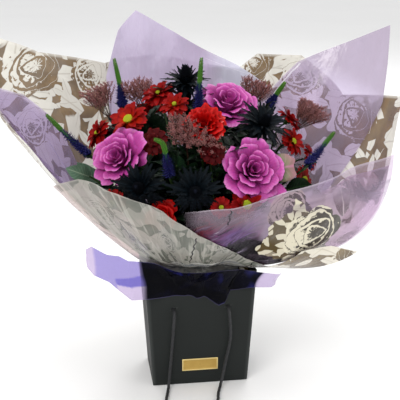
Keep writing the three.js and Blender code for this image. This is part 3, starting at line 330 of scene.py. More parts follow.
class Signal:
    """One output of a node. Whatever is done with it lays the next node."""

    def __init__(self, paint, socket):
        self.paint, self.socket = paint, socket

    def do(self, operation, other=0.0):
        return self.paint.lay("ShaderNodeMath", (self, other), operation=operation)

    def __add__(self, other):
        return self.do("ADD", other)

    def __sub__(self, other):
        return self.do("SUBTRACT", other)

    def __rsub__(self, other):
        return self.paint.lay("ShaderNodeMath", (other, self), operation="SUBTRACT")

    def __mul__(self, other):
        return self.do("MULTIPLY", other)

    def __truediv__(self, other):
        return self.do("DIVIDE", other)

    def __abs__(self):
        return self.do("ABSOLUTE")

    def most(self, other):
        return self.do("MAXIMUM", other)

    def vector(self, operation, other):
        return self.paint.lay("ShaderNodeVectorMath", (self, other), operation=operation)

    def scaled(self, *scale):
        return self.vector("MULTIPLY", scale)

    def moved(self, *by):
        return self.vector("ADD", by)

    def length(self):
        return self.paint.lay("ShaderNodeVectorMath", (self,), "Value", operation="LENGTH")

    def turned(self, angle):
        inputs = {"Vector": self, "Angle": angle}
        return self.paint.lay("ShaderNodeVectorRotate", inputs, rotation_type="Z_AXIS")

    def apart(self):
        return self.paint.lay("ShaderNodeSeparateXYZ", (self,), (0, 1))

    def in_mm(self):
        """A flat place's two numbers, in millimetres."""
        return self.scaled(1 / MM, 1 / MM, 0.0).apart()

    def channels(self):
        return self.paint.lay("ShaderNodeSeparateColor", (self,), (0, 1, 2))

    def noise(self, scale, detail=4.0, rough=0.55, warp=0.0, out="Fac"):
        inputs = {"Vector": self, "Scale": scale, "Detail": detail, "Roughness": rough, "Distortion": warp}
        return self.paint.lay("ShaderNodeTexNoise", inputs, out)

    def push(self, scale, reach):
        """A small wandering step, to bend a place by."""
        return self.noise(scale, 3, out="Color").scaled(reach, reach, 0.0)

    def cells(self, scale, randomness=1.0):
        """A pattern of cells: the distance to the nearest, its colour and its place."""
        inputs = {"Vector": self, "Scale": scale, "Randomness": randomness}
        return self.paint.lay("ShaderNodeTexVoronoi", inputs, ("Distance", "Color", "Position"))

    def ramp(self, *stops):
        """A colour or a grey from a number, through (place, colour) stops."""
        node = self.paint.tree.nodes.new("ShaderNodeValToRGB")
        self.paint.put(node.inputs[0], self)
        band = node.color_ramp
        while len(band.elements) < len(stops):
            band.elements.new(0.5)
        for element, (at, colour) in zip(band.elements, stops):
            element.position = at
            element.color = opaque(colour)
        return Signal(self.paint, node.outputs[0])

    def mix(self, a, b):
        """a where this is 0, b where it is 1."""
        return self.paint.lay("ShaderNodeMix", {0: self, 6: a, 7: b}, 2, data_type="RGBA")

    def bump(self, strength, distance):
        inputs = {"Strength": strength, "Distance": distance, "Height": self}
        return self.paint.lay("ShaderNodeBump", inputs)


class Paint:
    """A node material, built up by small steps."""

    def __init__(self, name):
        self.mat = bpy.data.materials.new(name)
        self.mat.use_nodes = True
        self.tree = self.mat.node_tree
        self.tree.nodes.clear()
        self.out = self.tree.nodes.new("ShaderNodeOutputMaterial")

    def put(self, socket, value):
        if isinstance(value, Signal):
            self.tree.links.new(value.socket, socket)
        else:
            socket.default_value = opaque(value) if socket.type == "RGBA" else value

    def lay(self, kind, inputs=(), out=0, **settings):
        """A node, with its inputs by order or by name. out names the one output to go on with, or several."""
        node = self.tree.nodes.new(kind)
        for key, value in settings.items():
            setattr(node, key, value)
        for key, value in inputs.items() if isinstance(inputs, dict) else enumerate(inputs):
            self.put(node.inputs[key], value)
        if isinstance(out, tuple):
            return [Signal(self, node.outputs[key]) for key in out]
        return Signal(self, node.outputs[out])

    def shade(self, *names):
        """The mesh's own values, out of along, aside, tone and kind."""
        colour, kind = self.lay("ShaderNodeAttribute", out=("Color", "Alpha"), attribute_name="shade")
        along, aside, tone = colour.channels()
        given = {"along": along, "aside": aside, "tone": tone, "kind": kind}
        return [given[name] for name in names]

    def flat(self):
        """The place on the flat film, in metres: round it and up it."""
        return self.lay("ShaderNodeAttribute", out="Vector", attribute_name="flat")

    def place(self):
        return self.lay("ShaderNodeTexCoord", out="Object")

    def surface(self, colour, roughness, normal=None, **sockets):
        inputs = {"Base Color": colour, "Roughness": roughness}
        if normal is not None:
            inputs["Normal"] = normal
        inputs.update((name.replace("_", " "), value) for name, value in sockets.items())
        return self.lay("ShaderNodeBsdfPrincipled", inputs)

    def see_through(self, film, tint, share):
        """A film's sheen over what shows through it, tinted."""
        clear = self.lay("ShaderNodeBsdfTransparent", (tint,))
        return self.lay("ShaderNodeMixShader", (share, clear, film))

    def done(self, shader):
        self.put(self.out.inputs[0], shader)
        return self.mat


# The front handle cord: twisted, through both holes, down the face and over the ground
CORD_DIAMETER = 4.5
CORD_ROUTE = [
    (-41, -44, 128), (-41, -50, 128), (-41, -56, 127.9), (-41.1, -60.4, 126.3), (-41.3, -63.4, 122.6),
    (-41.6, -64, 117), (-42.5, -61.5, 100), (-43.5, -58, 80), (-45, -55.8, 58), (-47, -55.4, 36),
    (-49, -57.5, 17), (-50.5, -61.5, 7.2), (-52.5, -70, 3), (-55.5, -84, 2.7), (-58.5, -101, 2.7),
    (-57.5, -119, 2.7), (-47, -134, 2.7), (-28, -141, 2.7), (-8, -138, 2.7), (9, -126, 2.7),
    (17.5, -109, 2.7), (21, -91, 2.7), (25.5, -75, 3), (29.5, -64.5, 7.5), (33, -59.5, 18),
    (37.5, -56.4, 38), (42, -56.4, 60), (44.2, -58.6, 80), (43.4, -61.8, 100), (41.8, -64.2, 117),
    (41.3, -63.5, 122.6), (41.1, -60.4, 126.3), (41, -56, 127.9), (41, -50, 128), (41, -44, 128),
]
CORD_RINGS = 420
CORD_SIDES = 18
CORD_STRANDS = 3
CORD_LAY = 11.0
CORD_CORE, CORD_SWELL = 0.84, 0.2


def cord_paint():
    paint = Paint("cord_black")
    (tone,) = paint.shade("tone")
    fibre = paint.place().scaled(900, 900, 900).noise(1.0, 3)
    colour = fibre.mix(rgb(12, 13, 15), rgb(34, 36, 40))
    # Painted shade: where the tone is low, in the grooves between the strands, the colour darkens to near black
    colour = tone.ramp((0.0, 0.75), (0.55, 0.0)).mix(colour, rgb(6, 6, 8))
    normal = fibre.bump(0.35, 0.0004)
    return paint.done(paint.surface(colour, 0.62, normal, Sheen_Weight=0.08, Sheen_Roughness=0.4))


def handle_cord():
    line = spaced(curve_line(CORD_ROUTE, 24), np.linspace(0, 1, CORD_RINGS))
    length = float(np.linalg.norm(np.diff(line, axis=0), axis=1).sum())

    def strands(i, angle):
        spin = TURN * (i / (CORD_RINGS - 1)) * length / (CORD_LAY * CORD_STRANDS)
        return CORD_CORE + CORD_SWELL * np.abs(np.cos(0.5 * CORD_STRANDS * (angle - spin)))

    angle = TURN * (np.arange(CORD_SIDES) + 0.5) / CORD_SIDES
    lit = [(strands(i, angle) - CORD_CORE) / CORD_SWELL for i in range(CORD_RINGS)]
    look = shading(CORD_RINGS, CORD_SIDES, (np.arange(CORD_RINGS) / CORD_RINGS)[:, None], tone=lit)
    skin = Skin()
    skin.tube(line, CORD_DIAMETER / 2, CORD_SIDES, relief=strands, look=look)
    cord = add_piece("cord_twisted", skin, [cord_paint()], ["handle_cord"])


handle_cord()


# The gift bag
BAG_HEIGHT = 185
BAG_BOTTOM = (73, 48)
BAG_TOP = (84, 56)
CARD = 1.4
GUSSET = 2.5
HOLES = [(x, y, 128) for x in (-41, 41) for y in (-53, 53)]
HOLE_RADIUS = 3.0
PANEL_SWELL = 0.8
FOLD = 1.3
HEM_Z = 152
RIM_Z = 183.6


def card_half(z):
    share = z / BAG_HEIGHT
    return lerp(BAG_BOTTOM[0], BAG_TOP[0], share), lerp(BAG_BOTTOM[1], BAG_TOP[1], share)


def panel_swell(t, z):
    """How far a panel stands out at a share of its width and a height."""
    return PANEL_SWELL * np.sin(math.pi * t) * math.sin(math.pi * min(1, max(0, z / BAG_HEIGHT)) ** 0.8)


card_wave = waves(5, 6, 0.02, 0.06)


def bag_ring(z, inset):
    """One ring round the bag, as points and how near each is to a fold."""
    x, y = card_half(z)
    x, y = x - inset, y - inset
    crease = GUSSET * z / BAG_HEIGHT
    corners = [vec(x, -y), vec(x - crease, 0), vec(x, y), vec(-x, y), vec(crease - x, 0), vec(-x, -y)]
    points, folds = [], []
    for i, a in enumerate(corners):
        b = corners[(i + 1) % 6]
        before = corners[i - 1]
        wide = i in (2, 5)
        span = np.linalg.norm(b - a)
        edge = FOLD / span
        shares = np.concatenate([[edge], np.linspace(0.04, 0.96, 30 if wide else 9), [1 - edge]])
        corner = 0.5 * a + 0.25 * (a + unit(b - a) * FOLD) + 0.25 * (a + unit(before - a) * FOLD)
        out = vec((b - a)[1], -(b - a)[0]) / span
        side = a + shares[:, None] * (b - a)
        bulge = panel_swell(shares, z) if wide else 0.25 * np.sin(math.pi * shares)
        ripple = 0.16 * card_wave(side[:, 0], side[:, 1] + z * 1.3)
        points += [corner[None], side + (bulge + ripple)[:, None] * out]
        folds += [[1.0], np.where((shares < 0.03) | (shares > 0.97), 0.75, 0.0)]
    flat = np.vstack(points)
    return np.column_stack([flat, np.full(len(flat), z)]), np.concatenate(folds)


def card_paint():
    paint = Paint("card_black")
    along, tone = paint.shade("along", "tone")
    cloudy = paint.place().noise(14, 3)
    colour = cloudy.mix(rgb(27, 30, 29), rgb(36, 39, 38))
    colour = along.ramp((0.0, 0.35), (0.5, 0.0)).mix(colour, rgb(28, 32, 32))
    colour = (tone * 0.5).mix(colour, rgb(78, 81, 80))
    rough = cloudy.ramp((0.3, 0.5), (0.75, 0.62))
    normal = paint.place().noise(1400, 2).bump(0.16, 0.0002)
    return paint.done(paint.surface(colour, rough, normal, Specular_IOR_Level=0.15))


def inner_card_paint():
    paint = Paint("card_lining")
    fibre = paint.place().scaled(300, 300, 900).noise(1.0, 4)
    colour = fibre.mix(rgb(30, 32, 32), rgb(46, 48, 48))
    return paint.done(paint.surface(colour, 0.8, fibre.bump(0.2, 0.0003)))


def bag_rows():
    """The card's rings as height, inset and whether inside: up the outside, over the hem and down to the floor."""
    heights = [0, 0.7, 2.0, 6, *range(12, 180, 6), 181, RIM_Z, 184.7]
    rows = [(z, 0.0 if z > 0.3 else 0.7, 0) for z in heights]
    hem = CARD + 0.5
    rows += [(185, 0.5, 0), (185, 1.2, 0), (184.5, hem, 0), (170, hem, 1), (HEM_Z + 0.3, hem, 1)]
    return rows + [(z, CARD, 1) for z in (HEM_Z, 120, 60, CARD)]


def bag():
    rings, looks = [], []
    for z, inset, inside in bag_rows():
        ring, folds = bag_ring(z, inset)
        rim = 0.8 if RIM_Z < z else 0.0
        tone = 0 if inside else np.maximum(folds, rim)
        rings.append(ring)
        looks.append(shading(1, len(ring), z / BAG_HEIGHT, np.arange(len(ring)) / len(ring), tone, inside)[0])
    for end in (0, -1):
        ring, look = rings[end], looks[end] * vec(1, 1, 0, 1)
        for share in (0.5, 0.01):
            at = len(rings) if end else 0
            rings.insert(at, ring * vec(share, share, 1))
            looks.insert(at, look)
    looks = np.array(looks)
    skin = Skin()
    skin.grid(np.array(rings), looks, np.repeat(looks[:-1, 0, 3], looks.shape[1]), wrap=True)
    piece = add_piece("bag_card", skin, [card_paint(), inner_card_paint()], ["bag"])
    punch_holes(piece)


def punch_holes(piece):
    drills = []
    for x, y, z in HOLES:
        drill = Skin()
        drill.tube([vec(x, y - 9, z), vec(x, y + 9, z)], HOLE_RADIUS, 28, look=np.zeros(4))
        drills.append(add_object("drill", drill.mesh("drill")))
        cut = piece.modifiers.new("hole", "BOOLEAN")
        cut.operation = "DIFFERENCE"
        cut.solver = "EXACT"
        cut.object = drills[-1]
    graph = bpy.context.evaluated_depsgraph_get()
    finished = bpy.data.meshes.new_from_object(piece.evaluated_get(graph))
    piece.modifiers.clear()
    piece.data = finished
    for drill in drills:
        bpy.data.objects.remove(drill)
    finished.name = piece.name


bag()


def plate_paint():
    paint = Paint("plate_gold")
    (tone,) = paint.shade("tone")
    brushed = paint.place().scaled(40, 900, 1400).noise(1.0, 3)
    colour = paint.place().noise(60, 3).mix(rgb(176, 140, 66), rgb(206, 172, 92))
    colour = tone.mix(colour, rgb(232, 208, 140))
    rough = brushed.ramp((0.2, 0.3), (0.8, 0.42))
    normal = brushed.bump(0.08, 0.0002)
    return paint.done(paint.surface(colour, rough, normal, Metallic=0.55, Specular_IOR_Level=0.6))


def label_plate():
    """A bare gold plate with a raised bevelled border, on the front of the bag."""
    low, high, middle = box_of("label_plate")
    half_x, half_z = (high[0] - low[0]) / 2, (high[2] - low[2]) / 2
    insets = [(0, 0, 0.0), (0, 0.5, 1.0), (0.35, 0.75, 1.0), (1.6, 0.75, 1.0), (2.0, 0.5, 0.0), (6, 0.5, 0.0)]
    profile = [(half_x - inset, half_z - inset, height, bright) for inset, height, bright in insets]
    profile.append((0.5, 0.2, 0.5, 0.0))
    corners = [vec(-1, -1), vec(1, -1), vec(1, 1), vec(-1, 1)]
    shares = np.linspace(0, 1, 12)[:-1]
    square = np.array([lerp(corners[i], corners[(i + 1) % 4], t) for i in range(4) for t in shares])
    rings = []
    for a, c, height, _ in profile:
        x, z = middle[0] + square[:, 0] * a, middle[2] + square[:, 1] * c
        face = [-(card_half(h)[1] + panel_swell((w / BAG_TOP[0] + 1) / 2, h)) for w, h in zip(x, z)]
        rings.append(np.column_stack([x, np.array(face) - 0.25 - height, z]))
    bright = vec(*(row[3] for row in profile))[:, None]
    skin = Skin()
    skin.grid(np.array(rings), shading(len(profile), len(square), tone=bright), wrap=True)
    add_piece("label_plate_gold", skin, [plate_paint()], ["label_plate"])


label_plate()


def board_paint():
    paint = Paint("card_grey")
    fibre = paint.place().scaled(500, 500, 500).noise(1.0, 5)
    distance, _, _ = paint.place().cells(420)
    colour = fibre.mix(rgb(120, 108, 92), rgb(158, 146, 126))
    colour = distance.ramp((0.0, 0.5), (0.16, 0.0)).mix(colour, rgb(84, 74, 62))
    return paint.done(paint.surface(colour, 0.9, fibre.bump(0.3, 0.0004)))


for board_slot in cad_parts["bag_base_board"].material_slots:
    board_slot.material = board_paint()


# The water pouch: clear film, creased, with water up to below its neck
POUCH_FLOOR, POUCH_WELL_FLOOR, POUCH_TOP, POUCH_WELL = 4.0, 17, 132, 37
POUCH_HEIGHT = 128
# Its outside by height: half width, half depth and how square it is
POUCH_LEVELS = [(0.0, 50, 32, 3), (10.0, 62, 42.5, 3), (98.0, 60, 43, 3), (POUCH_HEIGHT, 42, 41, 2)]
POUCH_SIDES = 72


def pouch_paint():
    paint = Paint("pouch_clear")
    (tone,) = paint.shade("tone")
    crease = paint.place().scaled(30, 30, 12).noise(1.0, 5, warp=1.2)
    colour = crease.mix(rgb(170, 190, 196), rgb(214, 226, 230))
    film = paint.surface(colour, 0.1, crease.bump(0.5, 0.004), Specular_IOR_Level=0.7)
    tint = tone.mix((0.92, 0.95, 0.96), (0.78, 0.86, 0.87))
    return paint.done(paint.see_through(film, tint, crease.ramp((0.35, 0.16), (0.75, 0.45))))


def pouch_ring(z, half_x, half_y, power, crinkle=0.0):
    angle = TURN * np.arange(POUCH_SIDES) / POUCH_SIDES
    c, s = np.abs(np.cos(angle)), np.abs(np.sin(angle))
    r = ((c / half_x) ** power + (s / half_y) ** power) ** (-1 / power)
    r = r + crinkle * (np.sin(angle * 17 + z * 0.05) * 0.6 + np.sin(angle * 29 + z * 0.11) * 0.4)
    return turned_rings([(r, float(z))], angle)[0]


def water_pouch():
    rings, looks = [], []
    for share in (0.01, 0.5):
        rings.append(pouch_ring(POUCH_FLOOR, 50 * share, 32 * share, 2.5))
        looks.append([0, 0, 1, 0])
    for z in np.linspace(0, POUCH_HEIGHT, 30):
        k = max(i for i in range(3) if POUCH_LEVELS[i][0] <= z)
        a, b = POUCH_LEVELS[k : k + 2]
        t = (z - a[0]) / (b[0] - a[0])
        x, y, power = (lerp(a[n], b[n], t) for n in (1, 2, 3))
        crinkle = 0.2 + 0.5 * (z / POUCH_HEIGHT) ** 2
        rings.append(pouch_ring(POUCH_FLOOR + z, x - 0.7, y - 0.7, power, crinkle))
        looks.append([z / POUCH_HEIGHT, 0, z < 92, 0])
    for z in np.linspace(POUCH_TOP, POUCH_WELL_FLOOR, 12):
        rings.append(pouch_ring(z, POUCH_WELL + 0.4, POUCH_WELL + 0.4, 2, 0.3))
        looks.append([z / POUCH_HEIGHT, 0, z < 96, 1])
    for share in (0.5, 0.01):
        rings.append(pouch_ring(POUCH_WELL_FLOOR, POUCH_WELL * share, POUCH_WELL * share, 2))
        looks.append([0, 0, 1, 1])
    skin = Skin()
    skin.grid(np.array(rings), np.repeat(np.array(looks, float), POUCH_SIDES, axis=0), wrap=True)
    add_piece("pouch_of_water", skin, [pouch_paint()], ["water_pouch"])


water_pouch()


# The tie: raffia wound round the gathered stems
def raffia_paint():
    paint = Paint("tie_raffia")
    (tone,) = paint.shade("tone")
    fibre = paint.place().scaled(200, 200, 1400).noise(1.0, 4)
    colour = fibre.mix(rgb(96, 66, 38), rgb(176, 138, 88))
    colour = (tone * 0.6).mix(colour, rgb(128, 96, 58))
    return paint.done(paint.surface(colour, 0.7, fibre.bump(0.4, 0.0006)))


def tie():
    low, high, middle = box_of("tie")
    outer = (high[0] - low[0]) / 2 - 1.3
    turns, per = 11, 56
    share = np.linspace(0, 1, turns * per)
    angle = TURN * turns * share
    height = middle[2] + 3.6 * np.sin(share * math.pi * 5.2 + 0.4)
    radius = outer + 0.5 * np.sin(share * 37) * 0.6 + 0.35 * (np.arange(len(share)) // per % 3 - 1)
    line = np.column_stack([middle[0] + radius * np.cos(angle), middle[1] + radius * np.sin(angle), height])
    knot = [
        (middle[0] + x, middle[1] - outer - y, middle[2] + z)
        for x, y, z in ((-6, 0.6, -2), (-1, 2.0, 2), (3, 1.6, -1), (6, 0.8, 2.5))
    ]
    skin = Skin()
    skin.tube(line, 1.0, 6, 0.5)
    skin.tube(curve_line(knot), 1.1, 6, 0.9)
    add_piece("tie_windings", skin, [raffia_paint()], ["tie"])


tie()


# The films: the same flare as the solids', on a finer grid, with creases and a print
CARD_GAP = 0.8
FILM = 0.8
SKIRT_Z = 160
FLARE_Z = 197
LAYER_PITCH = 1.5
LAYER_SPREAD = 3
LAYERS = 7
SLANT_STEP = 8
ROW_STEP = 0.17
PLEAT = 4
PLEATS = 13
BEARING_FINE = 0.8
FLAT_RADIUS = 250.0
FILM_ROWS = 54
# By bearing, the radius and height of the point the flare bends towards and of the point where it ends
FLARE = [
    (0, 256, 224, 316, 488), (16, 222, 246, 325, 522), (38, 205, 265, 252, 485), (54, 208, 258, 215, 480),
    (90, 206, 252, 180, 502), (117, 208, 258, 184, 556), (137, 208, 258, 206, 525), (152, 208, 258, 252, 520),
    (167, 205, 255, 325, 540), (180, 175, 262, 285, 452), (190, 155, 262, 240, 392), (200, 140, 256, 212, 360),
    (215, 128, 246, 190, 350), (234, 118, 236, 172, 345), (266, 112, 222, 156, 338), (300, 122, 226, 172, 352),
    (331, 232, 204, 228, 366), (347, 290, 203, 272, 376),
]
# Each film's layer, its flop, its outline as bearings and heights, and its cut: the sheet's width and
# length, and its area where the panel is less than that whole rectangle
FILMS = {
    "film_lilac_back": (
        2, 0, [(8, 412), (16, 522), (40, 456), (48, 412), (64, 447), (112, 541), (120, 510), (128, 440)],
        (0.60, 0.42, 0.138),
    ),
    "film_lilac_left": (
        2, 0, [(152, 372), (160, 430), (168, 450), (176, 452), (184, 425), (192, 378), (200, 344)],
        (0.30, 0.32, 0.050),
    ),
    "film_print_back": (
        3, 0,
        [
            (-8, 336), (0, 428), (24, 410), (40, 466), (56, 466), (64, 440), (104, 470), (128, 462),
            (152, 488), (168, 538), (184, 415), (192, 366),
        ],
        (0.90, 0.44, 0.235),
    ),
    "film_print_right_front": (
        3, 0, [(272, 296), (288, 304), (304, 317), (328, 344), (344, 346)], (0.34, 0.26, 0.046),
    ),
    "film_lilac_right_front": (
        4, 0, [(256, 316), (272, 319), (288, 325), (304, 338), (328, 357), (344, 362)], (0.42, 0.28, 0.059),
    ),
    "film_print_fold": (6, 40, [(320, 234), (328, 243), (336, 238)], (0.12, 0.14, 0.0082)),
    "film_print_left_front": (
        5, 0,
        [
            (200, 334), (208, 348), (216, 358), (232, 346), (248, 318), (264, 275), (288, 238), (304, 217),
            (320, 201),
        ],
        (0.46, 0.24, 0.044),
    ),
}


def flare_profile(bearing):
    """The point the flare bends towards and the point where it ends, at a bearing in degrees."""
    count = len(FLARE)
    b = bearing % 360
    i = max(n for n in range(count) if FLARE[n][0] <= b)

    def where(k):
        return FLARE[k % count][0] + 360 * (k // count)

    def value(k):
        return np.array(FLARE[k % count][1:], float)

    span = where(i + 1) - where(i)
    t = (b - where(i)) / span
    a, c = value(i), value(i + 1)
    before = (c - value(i - 1)) / (where(i + 1) - where(i - 1))
    after = (value(i + 2) - a) / (where(i + 2) - where(i))
    h = 1 - t
    return a * h * h * (1 + 2 * t) + c * t * t * (3 - 2 * t) + span * t * h * (before * h - after * t)


def way_of(bearing):
    return math.cos(math.radians(bearing)), math.sin(math.radians(bearing))


def mouth_radius(bearing, z):
    inset = CARD + GUSSET + CARD_GAP + FILM / 2 + LAYERS * LAYER_PITCH
    x, y = card_half(z)
    c, s = way_of(bearing)
    return (abs(c / (x - inset)) ** 7 + abs(s / (y - inset)) ** 7) ** (-1 / 7)


def slant(bearing):
    """How much further a film stands off along the radius, where the mouth's side runs aslant."""

    def at(b):
        c, s = way_of(b)
        r = mouth_radius(b, FLARE_Z)
        return vec(r * c, r * s)

    here = at(bearing)
    facings = []
    for step in (-SLANT_STEP, SLANT_STEP):
        side = at(bearing + step) - here
        cross = here[0] * side[1] - here[1] * side[0]
        facings.append(abs(cross) / np.linalg.norm(here) / np.linalg.norm(side))
    return 1 / min(facings)


def pleat(bearing):
    b = math.radians(bearing)
    return math.sin(PLEATS * b + 1.3 * math.sin(3 * b))


class Column:
    """The flare at one bearing. A film's layer and how far it stands out place a point on it."""

    def __init__(self, bearing):
        self.profile = flare_profile(bearing)
        self.foot = vec(mouth_radius(bearing, FLARE_Z), FLARE_Z)
        self.skirt = mouth_radius(bearing, SKIRT_Z)
        self.slant = slant(bearing)
        self.pleat = pleat(bearing)
        self.way = way_of(bearing)

    def polar(self, u, layer, out=0.0):
        """Radius and height at shares u of the flare."""
        u = np.asarray(u, float)
        h = 1 - u
        foot, bend, end = self.foot, self.profile[:2], self.profile[2:]
        at = [foot[n] * h * h + 2 * u * h * bend[n] + u * u * end[n] for n in (0, 1)]
        slope = [2 * h * (bend[n] - foot[n]) + 2 * u * (end[n] - bend[n]) for n in (0, 1)]
        steep = np.hypot(*slope)
        off = out + layer * (LAYER_PITCH + LAYER_SPREAD * u) + PLEAT * u * self.pleat
        near = ease(u / ROW_STEP)
        outward, downward = slope[1] / steep, slope[0] / steep
        aslant = lerp(self.slant, 1, np.clip(u / 0.6, 0, 1))
        r = at[0] + off * aslant * lerp(1, outward, near)
        z = at[1] - off * downward * lerp(1 / (1 + outward), 1, near)
        return r, z

    def points(self, u, layer, out=0.0):
        """Points at shares u, where u below 0 runs down inside the bag's mouth."""
        r, z = self.polar(np.maximum(u, 0), layer, out)
        low = self.skirt + self.slant * (layer * LAYER_PITCH + out)
        inside = u < 0
        r = np.where(inside, lerp(r, low, -u), r)
        z = np.where(inside, lerp(z, SKIRT_Z, -u), z)
        return np.column_stack([r * self.way[0], r * self.way[1], z])

    def share_at(self, height, layer):
        low, high = 0.0, 1.15
        for _ in range(24):
            middle = (low + high) / 2
            if self.polar(middle, layer)[1] < height:
                low = middle
            else:
                high = middle
        return low


def creases(seed, count, reach=(26, 95), depth=(0.5, 1.6)):
    """Sharp folds across a film: facets that meet in straight ridges, for places (s, t) along it."""
    draw = np.random.default_rng(seed)
    spin = draw.uniform(0, TURN, count)
    pitch = draw.uniform(*reach, count)
    deep = draw.uniform(*depth, count)
    phase = draw.uniform(0, 2, count)
    patch = [waves(seed * 31 + i, 3, 0.008, 0.02) for i in range(count)]

    def value(s, t):
        total = 0.0
        for i in range(count):
            x = (s * math.cos(spin[i]) + t * math.sin(spin[i])) / pitch[i] + phase[i]
            fold = np.abs(np.mod(x, 2) - 1) - 0.5
            total = total + deep[i] * fold * ease(patch[i](s, t) * 0.9 + 0.45)
        return total

    return value


def film_skin(outline, layer, flop, seed, crumple):
    """A film's surface, with its places on the flat sheet for the print."""
    start, end = outline[0][0], outline[-1][0]
    bearings = np.arange(start, end + 0.01, BEARING_FINE)
    bearings[-1] = end
    tops = np.interp(bearings, *zip(*outline))
    folds = creases(seed, 9, depth=(0.4 * crumple, 1.5 * crumple))
    drift = waves(seed + 7, 6, 0.01, 0.035)
    curl = waves(seed + 13, 4, 0.02, 0.06)
    columns, looks, flats = [], [], []
    for bearing, height in zip(bearings, tops):
        column = Column(bearing)
        angle = math.radians(bearing)
        top = column.share_at(height, layer)
        u = np.concatenate([[-1, -0.5], np.linspace(0, 1, FILM_ROWS - 2) ** 0.92 * top])
        along = (bearing - start) / (end - start)
        t = run_lengths(column.points(u, layer))
        t = t - t[2]
        s = angle * FLAT_RADIUS
        open_share = np.clip(u, 0, 1)
        out = flop * np.maximum(0, u) * along**2
        out = out + (0.25 + 1.5 * open_share) * folds(s, t) * open_share**0.4
        out = out + 2.2 * open_share * drift(s, t) * crumple
        rim = np.clip((u - top + 0.06) / 0.06, 0, 1)
        out = out + 1.6 * rim**2 * curl(s, 0.0)
        gathers = 0.35 * np.sin(angle * 61 + 2 * math.sin(angle * 7))
        out = out + gathers * np.clip(1 - u / 0.5, 0, 1) * (u >= 0)
        columns.append(column.points(u, layer, out))
        looks.append(shading(1, FILM_ROWS, np.clip(u / max(top, 0.01), 0, 1), along)[0])
        flats.append(np.column_stack([np.full(FILM_ROWS, s), t, np.zeros(FILM_ROWS)]) * MM)
    skin = Skin()
    points, looks, flats = (np.stack(rows, axis=1) for rows in (columns, looks, flats))
    skin.grid(points, looks, flats=flats)
    return skin


def crumple_bump(flat, scale=1.0):
    """Glints of crumpled film: facets with sharp ridges, and soft ripples."""
    bent = flat.vector("ADD", flat.push(9 * scale, 0.05))
    facets, _, _ = bent.scaled(1.0, 0.45, 1.0).cells(22 * scale)
    ripples = bent.scaled(1.0, 0.3, 1.0).noise(55 * scale, 4)
    return (facets + ripples * 0.55).bump(0.55, 0.008)


class Coat:
    """A film's colour and how solid it is, covered through one mask after another."""

    def __init__(self, colour, solid):
        self.colour, self.solid = colour, solid

    def lay(self, mask, colour, solid):
        self.colour = mask.mix(self.colour, colour)
        self.solid = mask.mix(self.solid, solid)


def lilac_paint(name, bodies, hazy, veils_and_shine=(), glints=()):
    """Clear lilac gift film: what is behind shows through tinted, under a glossy crumpled face."""
    paint = Paint(name)
    (along,) = paint.shade("along")
    flat = paint.flat()
    cloudy = flat.noise(7, 3)
    rim = along.ramp((0.988, 0.0), (0.997, 1.0))
    streak = flat.scaled(46, 3, 1).noise(1.0, 4, warp=0.6)
    haze = streak.ramp((0.3, 0.26 * hazy), (0.62, 0.42 * hazy), (0.8, 0.6 * hazy))
    # A painted highlight: along the top edge (rim) the colour turns light and the film more solid
    coat = Coat(rim.mix(cloudy.mix(*bodies), rgb(232, 226, 238)), (rim * 0.6).mix(haze, 0.62))
    # Patches of another colour and solidity: opaque veils, and a painted reflection
    for bearings, heights, opacity, colour in veils_and_shine:
        s, t = flat.apart()
        near = s.ramp(*[(at * MM, v) for at, v in bearings]) * t.ramp(*[(at * MM, v) for at, v in heights])
        coat.lay(near * streak.ramp((0.35, 0.92), (0.6, 1.0)), colour, opacity)
    for start, end, width in glints:
        coat.lay(stroke(flat, start, end, width, 0.3) * 0.8, rgb(240, 238, 246), 0.8)
    normal = crumple_bump(flat)
    film = paint.surface(coat.colour, 0.16, normal, Specular_IOR_Level=0.75, Coat_Weight=0.3)
    tint = cloudy.mix(rgb(222, 210, 234), rgb(232, 222, 240))
    return paint.done(paint.see_through(film, tint, coat.solid))


def rose_motif(flat, place, radius, roll, dark=False, bold=0.4):
    """A two-tone rose at a place on the film, in millimetres: where it is, and where its ink is."""
    scale = 1 / (radius * MM)
    offset = flat.moved(-place[0] * MM, -place[1] * MM, 0.0).scaled(scale, scale, 0.0)
    x, y = offset.apart()
    angle = y.do("ARCTAN2", x)
    r = offset.length() + (offset.noise(1.7, 3) - 0.5) * 0.28
    reach = r + abs((angle * 2.5 + roll).do("SINE")) * -0.2
    inside = reach.ramp((0.8, 1.0), (0.82, 0.0))
    band = r * 4.4
    scallop = abs((angle * 1.5 + band.do("FLOOR") * 2.1 + roll).do("SINE"))
    step = (band + scallop * 0.62).do("FRACT")
    line = step.ramp((0.0, 1.0), (0.3, 0.9), (0.55, 0.5), (0.8, 0.15), (0.94, 0.05), (1.0, 0.8))
    outline = step.ramp((0.0, 0.8), (0.07, 0.0), (0.96, 0.0), (1.0, 0.8))
    side = (angle + (roll - 0.9)).do("COSINE") * 0.5 + 0.75
    sweep = flat.paint.lay("ShaderNodeCombineXYZ", (angle * 3.0, r * 2.2))
    hatch = sweep.noise(1.5, 2).ramp((0.38, 0.4), (0.6, 1.15))
    core = r.ramp((0.06, 0.9), (0.18, 0.5), (0.27, 0.0))
    ink = (line * side * hatch).most(outline).most(core * hatch).ramp((bold, 0.0), (bold + 0.1, 1.0))
    return inside, 1.0 - ink if dark else ink


def leaf_motifs(flat, scale, shift):
    """Scattered pointed leaves, each turned its own way: where they are, and their midribs."""
    bent = flat.moved(shift, 0.31, 0.0).vector("ADD", flat.push(20, 0.012))
    _, colour, centre = bent.cells(scale, 0.85)
    spin, chance, _ = colour.channels()
    x, y = bent.vector("SUBTRACT", centre).scaled(scale, scale, 0.0).turned(spin * TURN).apart()
    long, aside = x / 0.7, abs(y)
    room = (1.0 - long * long) * 0.3 - aside
    leaf = room.ramp((0.0, 0.0), (0.02, 1.0)) * chance.ramp((0.5, 1.0), (0.51, 0.0))
    return leaf, aside.ramp((0.012, 1.0), (0.03, 0.0)) * leaf


